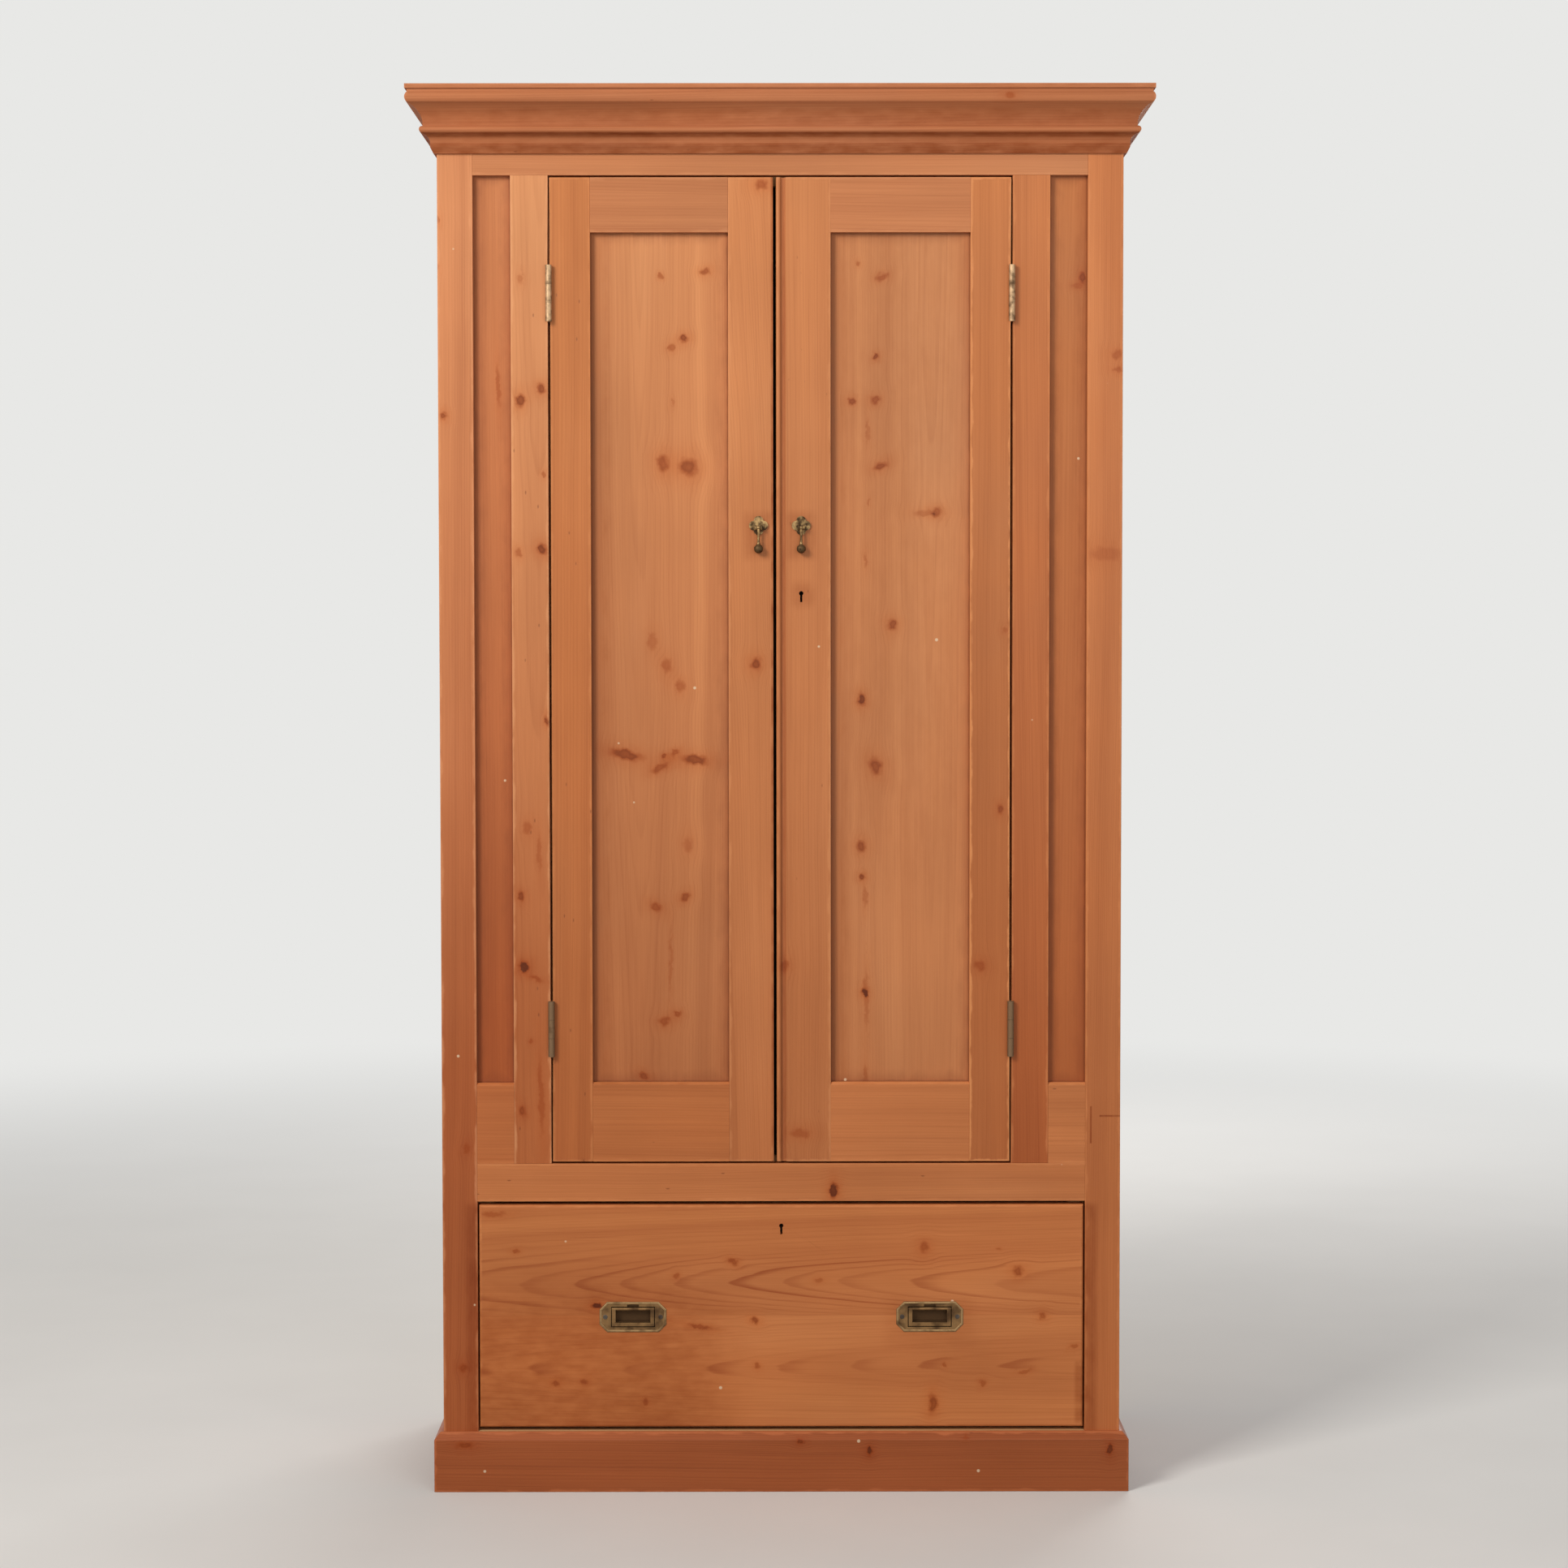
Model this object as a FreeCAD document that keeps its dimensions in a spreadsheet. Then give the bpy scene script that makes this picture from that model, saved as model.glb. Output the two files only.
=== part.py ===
import FreeCAD, Part
import math
import operator
import os
from types import SimpleNamespace

import Sketcher
from FreeCAD import Placement, Rotation, Vector

# Two-door pine wardrobe with a deep drawer below. Millimetres, +Z up, front towards -Y,
# origin on the floor under the middle of the overall box.

SIZES = {
    # Carcase
    "overall_height": 1915,
    "carcase_width": 930,
    "carcase_depth": 430,
    "side_thickness": 20,
    "side_tongue": 6,
    "top_thickness": 18,
    "floor_thickness": 18,
    "floor_lip": 8,
    "housing_depth": 6,
    "back_thickness": 12,
    "back_rebate": 10,
    "back_board_gap": 0.6,
    "back_foot_gap": 25,
    # Face frame
    "frame_thickness": 22,
    "outer_stile_width": 48,
    "narrow_panel_width": 51,
    "hinge_stile_width": 51,
    "top_rail_height": 98.5,
    "middle_rail_height": 52,
    "bottom_rail_height": 60,
    "short_rail_height": 111,
    # Panels and the joints of framed work
    "panel_recess": 9.5,
    "panel_thickness": 8,
    "groove_depth": 8,
    "tenon_thickness": 8,
    "tenon_length": 30,
    "tenon_shoulder": 10,
    "sill_bevel_height": 3,
    "sill_bevel_depth": 3,
    # Plinth
    "plinth_height": 82,
    "plinth_projection": 12,
    "plinth_bevel_height": 10,
    "plinth_bevel_depth": 8,
    # Cornice, members from the soffit up
    "cornice_height": 88,
    "cornice_projection": 39,
    "cornice_soffit": 8,
    "cornice_foot_fillet": 4,
    "cornice_small_cove": 13,
    "cornice_small_cove_reach": 9,
    "cornice_small_cove_hollow": 3,
    "cornice_bead": 10,
    "cornice_bead_bulge": 4.5,
    "cornice_cove_hollow": 6,
    "cornice_band": 13,
    "cornice_band_bulge": 2.5,
    "cornice_groove": 5,
    "cornice_groove_depth": 3,
    "cornice_top_fillet": 6,
    # Doors
    "door_thickness": 21.5,
    "door_gap": 3,
    "door_side_gap": 2,
    "meeting_gap": 4,
    "meeting_offset": -8,
    "door_hinge_stile_width": 55,
    "door_meeting_stile_width": 61,
    "door_top_rail_height": 74,
    "door_bottom_rail_height": 109,
    "bead_width": 6.8,
    "bead_rise": 3.2,
    "quirk_width": 6.2,
    "quirk_depth": 4,
    "stop_drop": 12,
    "stop_height": 44,
    "stop_thickness": 18,
    # Butt hinges
    "hinge_length": 76,
    "hinge_knuckle_radius": 4.5,
    "hinge_proud": 4.8,
    "hinge_pin_radius": 2,
    "running_clearance": 0.05,
    "hinge_knuckle_gap": 0.3,
    "hinge_leaf_thickness": 1.8,
    "hinge_leaf_let_in": 1,
    "hinge_leaf_width": 20,
    "hinge_top_inset": 156.5,
    "hinge_bottom_inset": 183,
    # Drop pulls
    "pull_height": 1325,
    "left_pull_inset": 20,
    "right_pull_inset": 34,
    "pull_lobe_chord": 13,
    "pull_lobe_bulge": 6.4,
    "pull_plate_thickness": 2.5,
    "pull_boss_radius": 7,
    "pull_boss_height": 1.5,
    "pull_ear_thickness": 2,
    "pull_ear_radius": 3,
    "pull_ear_spacing": 5,
    "pull_pivot_reach": 7.5,
    "pull_pivot_drop": 3,
    "pull_pin_radius": 1,
    "drop_length": 35,
    "drop_eye_radius": 2.6,
    "drop_eye_width": 4.4,
    "drop_neck_radius": 2.1,
    "drop_ball_radius": 6.2,
    # Drawer
    "drawer_gap": 5,
    "drawer_height": 308,
    "drawer_end_gap": 2,
    "drawer_front_rounding": 4,
    "drawer_depth": 400,
    "drawer_lap": 6,
    "drawer_side_thickness": 12,
    "drawer_side_inset": 1,
    "drawer_side_drop": 10,
    "drawer_back_thickness": 12,
    "drawer_bottom_thickness": 8,
    "drawer_bottom_rise": 14,
    "drawer_groove_depth": 6,
    "tail_share": 0.7,
    "tail_flare": 3,
    # Drawer runners, guides and kickers
    "runner_clearance": 0.3,
    "runner_start": 1,
    "runner_height": 30,
    "runner_bearing": 18,
    "guide_clearance": 0.7,
    "guide_height": 40,
    "kicker_clearance": 1,
    "kicker_height": 30,
    # Flush handles of the drawer
    "handle_spread": 204,
    "handle_height": 240,
    "handle_plate_width": 92,
    "handle_plate_height": 42,
    "handle_plate_clip": 10.5,
    "handle_plate_thickness": 2.5,
    "handle_proud": 0.5,
    "handle_wall": 3,
    "bail_width": 58,
    "bail_height": 26,
    "bail_bar": 5,
    "bail_thickness": 4.6,
    "bail_sink": 0.3,
    "bail_clearance": 1.2,
    "bail_pivot_radius": 1.2,
    "bail_pivot_length": 3,
    "finger_cup_depth": 11,
    "finger_cup_margin": 1,
    "thumb_notch_width": 16,
    "thumb_notch_height": 3,
    "thumb_notch_depth": 3,
    # Locks and keyholes
    "keyhole_radius": 3,
    "keyhole_slot_width": 3,
    "keyhole_slot_length": 12,
    "lock_depth": 12,
    "lock_wall": 2,
    "lock_bolt_thickness": 7,
    "lock_clearance": 0.2,
    "door_lock_height": 1233,
    "door_lock_width": 50,
    "door_lock_length": 64,
    "door_lock_bolt_width": 18,
    "door_lock_bolt_length": 29,
    "door_key_inset": 34,
    "drawer_lock_width": 60,
    "drawer_lock_length": 44,
    "drawer_lock_bolt_width": 22,
    "drawer_lock_bolt_length": 24,
    "drawer_key_inset": 29,
    # Bolt on the back of the left door
    "bolt_plate_width": 24,
    "bolt_plate_length": 80,
    "bolt_plate_thickness": 2,
    "bolt_plate_inset": 20,
    "bolt_guide_width": 18,
    "bolt_guide_height": 12,
    "bolt_guide_depth": 9.5,
    "bolt_guide_inset": 4,
    "bolt_radius": 3.5,
    "bolt_reach": 5,
    "bolt_tail": 26,
    "bolt_tip": 4,
    "bolt_knob_radius": 4,
    "bolt_knob_reach": 14,
    "bolt_knob_clearance": 0.5,
    "bolt_slot_half_width": 14,
    # Hanging rail
    "hanging_drop": 105,
    "hanging_radius": 14,
    "socket_radius": 22,
    "socket_thickness": 14,
    "socket_floor": 4,
}

BACK_BOARDS = 7
DRAWER_TAILS = 4
KNUCKLES = 3
BALL_BANDS = 5
SIDES = (("left", -1), ("right", 1))

doc = FreeCAD.newDocument("wardrobe")
sheet = doc.addObject("Spreadsheet::Sheet", "dims")
for row, (alias, number) in enumerate(SIZES.items(), start=1):
    sheet.set(f"A{row}", alias)
    sheet.set(f"B{row}", str(number))
    sheet.setAlias(f"B{row}", alias)
doc.recompute()

OPERATIONS = {
    "+": operator.add,
    "-": operator.sub,
    "*": operator.mul,
    "/": operator.truediv,
}


class Size:
    """A length: its value now, and the formula that ties it to the sheet."""

    def __init__(self, value, formula):
        self.value = value
        self.formula = formula

    def __add__(self, other):
        return combine(self, "+", other)

    def __radd__(self, other):
        return combine(other, "+", self)

    def __sub__(self, other):
        return combine(self, "-", other)

    def __rsub__(self, other):
        return combine(other, "-", self)

    def __mul__(self, other):
        return combine(self, "*", other)

    def __rmul__(self, other):
        return combine(other, "*", self)

    def __truediv__(self, other):
        return combine(self, "/", other)

    def __neg__(self):
        return combine(0, "-", self)


def as_size(number):
    return number if isinstance(number, Size) else Size(float(number), str(float(number)))


def combine(left, sign, right):
    left = as_size(left)
    right = as_size(right)
    return Size(OPERATIONS[sign](left.value, right.value), f"({left.formula} {sign} {right.formula})")


size = SimpleNamespace(**{alias: Size(float(sheet.get(alias)), f"dims.{alias}") for alias in SIZES})
FLOOR = as_size(0)
MIDDLE = as_size(0)
subparts = []


def bind(obj, prop, length):
    obj.setExpression(prop, as_size(length).formula)


def place(obj, corner):
    for axis, distance in zip("xyz", corner):
        bind(obj, f"Placement.Base.{axis}", distance)


def keep(piece, label=None):
    """Name a finished sub-part, which is written to its own file."""
    piece.Label = label or piece.Name
    subparts.append(piece)
    return piece


def board(name, x, y, z):
    """A squared board between two planes on each axis."""
    box = doc.addObject("Part::Box", name)
    for side, (low, high) in zip(("Length", "Width", "Height"), (x, y, z)):
        bind(box, side, high - low)
    place(box, (x[0], y[0], z[0]))
    return box


TURN_TO_AXIS = {
    "x": Rotation(Vector(0, 1, 0), 90),
    "y": Rotation(Vector(1, 0, 0), -90),
    "z": Rotation(),
}


def rod(name, radius, start, axis, length):
    """A round rod from a point along one axis."""
    cylinder = doc.addObject("Part::Cylinder", name)
    bind(cylinder, "Radius", radius)
    bind(cylinder, "Height", length)
    cylinder.Placement = Placement(Vector(), TURN_TO_AXIS[axis])
    place(cylinder, start)
    return cylinder


def join(name, *pieces):
    fuse = doc.addObject("Part::MultiFuse", name)
    fuse.Shapes = list(pieces)
    fuse.Refine = True
    return fuse


def cut(name, base, *tools):
    result = doc.addObject("Part::Cut", name)
    result.Base = base
    result.Tool = tools[0] if len(tools) == 1 else group(name + "_cutters", *tools)
    result.Refine = True
    return result


def group(name, *pieces):
    compound = doc.addObject("Part::Compound", name)
    compound.Links = list(pieces)
    return compound


def sketch_on(body, plane, name):
    sketch = body.newObject("Sketcher::SketchObject", name)
    support = next(feature for feature in body.Origin.OriginFeatures if feature.Role == plane)
    sketch.AttachmentSupport = [(support, "")]
    sketch.MapMode = "FlatFace"
    return sketch


def arc_between(start, end, bulge):
    """The arc that leaves the chord by the bulge, positive to the left, and its radius."""
    run = end[0] - start[0], end[1] - start[1]
    chord_squared = run[0] * run[0] + run[1] * run[1]
    radius = (chord_squared / 4 + bulge * bulge) / (2 * bulge)
    chord = Vector(run[0].value, run[1].value, 0)
    middle = Vector(start[0].value, start[1].value, 0) + chord / 2
    left = Vector(-chord.y, chord.x, 0).normalize()
    centre = middle + left * (bulge.value - radius.value)
    ends = [Vector(point[0].value, point[1].value, 0) - centre for point in (start, end)]
    turns_left = bulge.value < 0
    first, last = ends if turns_left else reversed(ends)
    angles = [Vector(1, 0, 0).getAngle(spoke) * (1 if spoke.y >= 0 else -1) for spoke in (first, last)]
    circle = Part.Circle(centre, Vector(0, 0, 1), abs(radius.value))
    positions = (1, 2) if turns_left else (2, 1)
    return Part.ArcOfCircle(circle, *angles), positions, radius if bulge.value > 0 else -radius


def outline(sketch, points):
    """A closed run through points. A third entry bulges the side that leads to that point."""
    corners = [(as_size(point[0]), as_size(point[1])) for point in points]
    runs = []
    for index, start in enumerate(corners):
        following = (index + 1) % len(corners)
        if len(points[following]) == 3:
            arc, positions, radius = arc_between(start, corners[following], as_size(points[following][2]))
            run = sketch.addGeometry(arc)
            datum = sketch.addConstraint(Sketcher.Constraint("Radius", run, radius.value))
            bind(sketch, f"Constraints[{datum}]", radius)
        else:
            ends = [Vector(corner[0].value, corner[1].value, 0) for corner in (start, corners[following])]
            run = sketch.addGeometry(Part.LineSegment(*ends))
            positions = (1, 2)
        runs.append((run, *positions))
    for index, (run, first, last) in enumerate(runs):
        next_run, next_first, _ = runs[(index + 1) % len(runs)]
        sketch.addConstraint(Sketcher.Constraint("Coincident", run, last, next_run, next_first))
        for kind, distance in zip(("DistanceX", "DistanceY"), corners[index]):
            datum = sketch.addConstraint(Sketcher.Constraint(kind, -1, 1, run, first, distance.value))
            bind(sketch, f"Constraints[{datum}]", distance)


def extrude(name, plane, points, length, corner, reverse=False):
    """A body whose outline on one of its own planes is padded to a length."""
    body = doc.addObject("PartDesign::Body", name)
    sketch = sketch_on(body, plane, name + "_outline")
    outline(sketch, points)
    pad = body.newObject("PartDesign::Pad", name + "_pad")
    pad.Profile = sketch
    pad.Reversed = reverse
    bind(pad, "Length", length)
    place(body, corner)
    return body


def revolve(name, points, corner):
    """A body turned about its own vertical axis from a half outline."""
    body = doc.addObject("PartDesign::Body", name)
    sketch = sketch_on(body, "XZ_Plane", name + "_outline")
    outline(sketch, points)
    turned = body.newObject("PartDesign::Revolution", name + "_turned")
    turned.Profile = sketch
    turned.ReferenceAxis = (sketch, ["V_Axis"])
    turned.Angle = 360
    place(body, corner)
    return body


def across(sign, inner, outer):
    """The span in X between two distances from the middle, on one side."""
    return (inner, outer) if sign > 0 else (-outer, -inner)


def from_edge(edge, width, direction):
    """The span that starts at an edge and runs a width up or down its axis."""
    return (edge, edge + width) if direction > 0 else (edge - width, edge)


def about(middle, width):
    return middle - width / 2, middle + width / 2


# Planes from front to back
front = (size.cornice_projection - size.carcase_depth) / 2
back = front + size.carcase_depth
frame_back = front + size.frame_thickness
back_inside = back - size.back_thickness
door_back = front + size.door_thickness
frame_y = (front, frame_back)
door_y = (front, door_back)
panel_y = (front + size.panel_recess, front + size.panel_recess + size.panel_thickness)

# Distances from the middle outwards
half_width = size.carcase_width / 2
side_inside = half_width - size.side_thickness
stile_inside = half_width - size.outer_stile_width
hinge_stile_outside = stile_inside - size.narrow_panel_width
opening_half = hinge_stile_outside - size.hinge_stile_width
meeting_left = size.meeting_offset - size.meeting_gap / 2
meeting_right = size.meeting_offset + size.meeting_gap / 2
drawer_half = stile_inside - size.drawer_end_gap

# Heights from the floor up
drawer_low = size.plinth_height + size.drawer_gap
drawer_high = drawer_low + size.drawer_height
middle_low = drawer_high + size.drawer_gap
middle_high = middle_low + size.middle_rail_height
short_high = middle_high + size.short_rail_height
top_underside = size.overall_height - size.top_thickness
opening_high = top_underside - size.top_rail_height
door_low = middle_high + size.door_gap
door_high = opening_high - size.door_gap
floor_high = middle_high + size.floor_lip


def tenoned(name, x, y, z, along):
    """A frame member with a tenon at both ends of its length."""
    thickness = about((y[0] + y[1]) / 2, size.tenon_thickness)
    longer_x = x[0] - size.tenon_length, x[1] + size.tenon_length
    longer_z = z[0] - size.tenon_length, z[1] + size.tenon_length
    narrower_x = x[0] + size.tenon_shoulder, x[1] - size.tenon_shoulder
    narrower_z = z[0] + size.tenon_shoulder, z[1] - size.tenon_shoulder
    if along == "x":
        tenon = board(name + "_tenons", longer_x, thickness, narrower_z)
    else:
        tenon = board(name + "_tenons", narrower_x, thickness, longer_z)
    return join(name + "_blank", board(name + "_length", x, y, z), tenon)


def grooved_panel(label, x, z):
    """A flat panel whose edges stand in the grooves of its frame."""
    wider_x = x[0] - size.groove_depth, x[1] + size.groove_depth
    taller_z = z[0] - size.groove_depth, z[1] + size.groove_depth
    return keep(board(label, wider_x, panel_y, taller_z))


def moulding_set(name, section, projection, low):
    """A moulding along the front, mitred to a return on each side."""
    length = size.carcase_width + 2 * projection
    front_corner = (-half_width - projection, front, low)
    pieces = [extrude(name + "_front", "YZ_Plane", section(-1), length, front_corner)]
    mitres = [
        [(0, 0), (projection, 0), (0, -projection)],
        [(length, 0), (length, -projection), (length - projection, 0)],
    ]
    mitre_ends(pieces[0], mitres)
    end = -size.carcase_depth - projection
    for side, sign in SIDES:
        corner = (sign * half_width, back, low)
        piece = extrude(f"{name}_{side}_return", "XZ_Plane", section(sign), -end, corner)
        mitre_ends(piece, [[(0, -size.carcase_depth), (0, end), (sign * projection, end)]])
        pieces.append(piece)
    for piece in pieces:
        keep(piece)


def mitre_ends(body, triangles):
    """Cut the ends of a moulding, from below right through."""
    sketch = sketch_on(body, "XY_Plane", body.Name + "_mitres")
    for triangle in triangles:
        outline(sketch, triangle)
    pocket = body.newObject("PartDesign::Pocket", body.Name + "_mitre_cut")
    pocket.Profile = sketch
    pocket.Type = "ThroughAll"
    pocket.Reversed = True


def cornice_section(out):
    """Soffit, small cove, bead, large cove, rounded band, groove and top fillet."""
    foot = size.cornice_soffit + size.cornice_foot_fillet
    bead_low = foot + size.cornice_small_cove
    bead_high = bead_low + size.cornice_bead
    top_low = size.cornice_height - size.cornice_top_fillet
    groove_low = top_low - size.cornice_groove
    band_low = groove_low - size.cornice_band
    small_reach = size.cornice_foot_fillet + size.cornice_soffit / 2
    bead_reach = small_reach + size.cornice_small_cove_reach
    band_reach = size.cornice_projection - size.cornice_band_bulge
    groove_reach = size.cornice_projection - size.cornice_groove_depth
    return [
        (0, 0),
        (out * size.cornice_foot_fillet, 0),
        (out * small_reach, size.cornice_soffit),
        (out * small_reach, foot),
        (out * bead_reach, bead_low, out * size.cornice_small_cove_hollow),
        (out * bead_reach, bead_high, -out * size.cornice_bead_bulge),
        (out * band_reach, band_low, out * size.cornice_cove_hollow),
        (out * band_reach, groove_low, -out * size.cornice_band_bulge),
        (out * groove_reach, groove_low),
        (out * groove_reach, top_low),
        (out * size.cornice_projection, top_low),
        (out * size.cornice_projection, size.cornice_height),
        (0, size.cornice_height),
    ]


def plinth_section(out):
    shoulder = size.plinth_height - size.plinth_bevel_height
    return [
        (0, 0),
        (out * size.plinth_projection, 0),
        (out * size.plinth_projection, shoulder),
        (out * (size.plinth_projection - size.plinth_bevel_depth), size.plinth_height),
        (0, size.plinth_height),
    ]


moulding_set("cornice", cornice_section, size.cornice_projection, size.overall_height - size.cornice_height)
moulding_set("plinth", plinth_section, size.plinth_projection, FLOOR)

# Top, floor and back
top_z = (top_underside, size.overall_height)
keep(board("top_board", (-half_width, half_width), (front, back), top_z))
floor_x = (-side_inside - size.housing_depth, side_inside + size.housing_depth)
floor_z = (floor_high - size.floor_thickness, floor_high)
cupboard_floor = keep(board("cupboard_floor", floor_x, (frame_back, back_inside), floor_z))

back_half = side_inside + size.back_rebate
back_pitch = (2 * back_half + size.back_board_gap) / BACK_BOARDS
back_z = (size.back_foot_gap, top_underside)
back_boards = []
for number in range(BACK_BOARDS):
    board_x = from_edge(number * back_pitch - back_half, back_pitch - size.back_board_gap, 1)
    back_boards.append(board(f"back_board_{number + 1}", board_x, (back_inside, back), back_z))
keep(group("back_boards", *back_boards))

# Sides, each with a tongue into the back of its outer stile
full_z = (FLOOR, top_underside)
sides = {}
for side, sign in SIDES:
    side_x = across(sign, side_inside, half_width)
    plain = board(side + "_side_board", side_x, (frame_back, back), full_z)
    tongue_x = about(sign * (half_width - size.side_thickness / 2), size.side_tongue)
    tongue = board(side + "_side_tongue", tongue_x, (frame_back - size.side_tongue, frame_back), full_z)
    sides[side] = join(side + "_side_blank", plain, tongue)
    end_board = back_boards[0] if sign < 0 else back_boards[-1]
    keep(cut(side + "_side", sides[side], cupboard_floor, end_board))


def butt_hinge_leaf(name, axis_x, axis_y, low, toward, first_knuckle):
    """One leaf of a butt hinge: a plate in the gap, with every other knuckle round the axis."""
    leaf_start = size.door_side_gap / 2 - size.hinge_leaf_thickness + size.hinge_leaf_let_in
    leaf_x = from_edge(axis_x + toward * leaf_start, size.hinge_leaf_thickness, toward)
    gaps = (KNUCKLES - 1) * size.hinge_knuckle_gap
    knuckle = (size.hinge_length - gaps) / KNUCKLES
    high = low + size.hinge_length
    pieces = [board(name + "_plate", leaf_x, (front, front + size.hinge_leaf_width), (low, high))]
    for number in range(first_knuckle, KNUCKLES, 2):
        start = low + number * (knuckle + size.hinge_knuckle_gap)
        barrel_foot = (axis_x, axis_y, start)
        barrel = rod(f"{name}_knuckle_{number}", size.hinge_knuckle_radius, barrel_foot, "z", knuckle)
        tab = board(f"{name}_tab_{number}", leaf_x, (axis_y, front), (start, start + knuckle))
        pieces += [barrel, tab]
    return pieces


# The pin of each hinge is riveted into the frame leaf, and the door leaf turns on it
frame_leaves = {}
door_leaves = {}
hinge_y = front - size.hinge_proud
hinge_bore = size.hinge_pin_radius + size.running_clearance
hinge_lows = {
    "upper": door_high - size.hinge_top_inset - size.hinge_length / 2,
    "lower": door_low + size.hinge_bottom_inset - size.hinge_length / 2,
}
for side, sign in SIDES:
    axis_x = sign * (opening_half - size.door_side_gap / 2)
    frame_leaves[side] = []
    door_leaves[side] = []
    for level, low in hinge_lows.items():
        frame_name = f"{side}_{level}_frame_leaf"
        door_name = f"{side}_{level}_door_leaf"
        pin_foot = (axis_x, hinge_y, low)
        pin = rod(frame_name + "_pin", size.hinge_pin_radius, pin_foot, "z", size.hinge_length)
        bore = rod(door_name + "_bore", hinge_bore, pin_foot, "z", size.hinge_length)
        frame_pieces = butt_hinge_leaf(frame_name, axis_x, hinge_y, low, sign, 0)
        door_pieces = butt_hinge_leaf(door_name, axis_x, hinge_y, low, -sign, 1)
        frame_leaves[side].append(join(frame_name, *frame_pieces, pin))
        door_leaves[side].append(cut(door_name, join(door_name + "_solid", *door_pieces), bore))
    keep(group(side + "_door_hinge_leaves", *door_leaves[side]))
keep(group("hinge_frame_leaves", *frame_leaves["left"], *frame_leaves["right"]))


def sill_bevel(name, x, top):
    """The wedge planed off the top front edge of a rail under a panel, between its shoulders."""
    section = [(0, 0), (size.sill_bevel_depth, 0), (0, -size.sill_bevel_height)]
    return extrude(name, "YZ_Plane", section, x[1] - x[0], (x[0], front, top))


# Face frame: rails between the outer stiles, hinge stiles between the rails
rail_x = (-stile_inside, stile_inside)
top_rail = tenoned("top_rail", rail_x, frame_y, (opening_high, top_underside), "x")
middle_rail = tenoned("middle_rail", rail_x, frame_y, (middle_low, middle_high), "x")
bottom_rail_z = (size.plinth_height - size.bottom_rail_height, size.plinth_height)
bottom_rail = keep(tenoned("bottom_rail", rail_x, frame_y, bottom_rail_z, "x"), "bottom_rail")
hinge_stiles = []
narrow_panels = []
for side, sign in SIDES:
    stile_x = across(sign, opening_half, hinge_stile_outside)
    bay_x = across(sign, hinge_stile_outside, stile_inside)
    hinge_stile = tenoned(side + "_hinge_stile", stile_x, frame_y, (middle_high, opening_high), "z")
    short_rail = tenoned(side + "_short_rail", bay_x, frame_y, (middle_high, short_high), "x")
    panel = grooved_panel(side + "_narrow_panel", bay_x, (short_high, opening_high))
    outer_x = across(sign, stile_inside, half_width)
    outer_stile = board(side + "_outer_stile_board", outer_x, frame_y, full_z)
    outer_tools = (top_rail, middle_rail, bottom_rail, short_rail, panel, sides[side])
    keep(cut(side + "_outer_stile", outer_stile, *outer_tools))
    keep(cut(side + "_hinge_stile", hinge_stile, short_rail, panel, *frame_leaves[side]))
    bevel = sill_bevel(side + "_short_rail_bevel", bay_x, short_high)
    keep(cut(side + "_short_rail", short_rail, panel, bevel))
    hinge_stiles.append(hinge_stile)
    narrow_panels.append(panel)
keep(cut("top_rail", top_rail, *hinge_stiles, *narrow_panels))
keep(cut("middle_rail", middle_rail, *hinge_stiles))


def keyhole(name, x, z, depth):
    """A round hole with a slot below it, cut from the front face backwards."""
    slot_x = about(x, size.keyhole_slot_width)
    slot = board(name + "_slot", slot_x, (front, front + depth), (z - size.keyhole_slot_length, z))
    hole = rod(name + "_hole", size.keyhole_radius, (x, front, z), "y", depth)
    return join(name, hole, slot)


def beaded_stile(name, width, edge_x):
    """The right door's meeting stile, with a bead and quirk worked on its edge."""
    quirk_end = size.bead_width + size.quirk_width
    section = [
        (0, size.bead_rise),
        (size.bead_width, size.bead_rise, -size.bead_rise),
        (size.bead_width, size.quirk_depth),
        (quirk_end, size.quirk_depth),
        (quirk_end, 0),
        (width, 0),
        (width, size.door_thickness),
        (0, size.door_thickness),
    ]
    return extrude(name, "XY_Plane", section, door_high - door_low, (edge_x, front, door_low))


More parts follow.
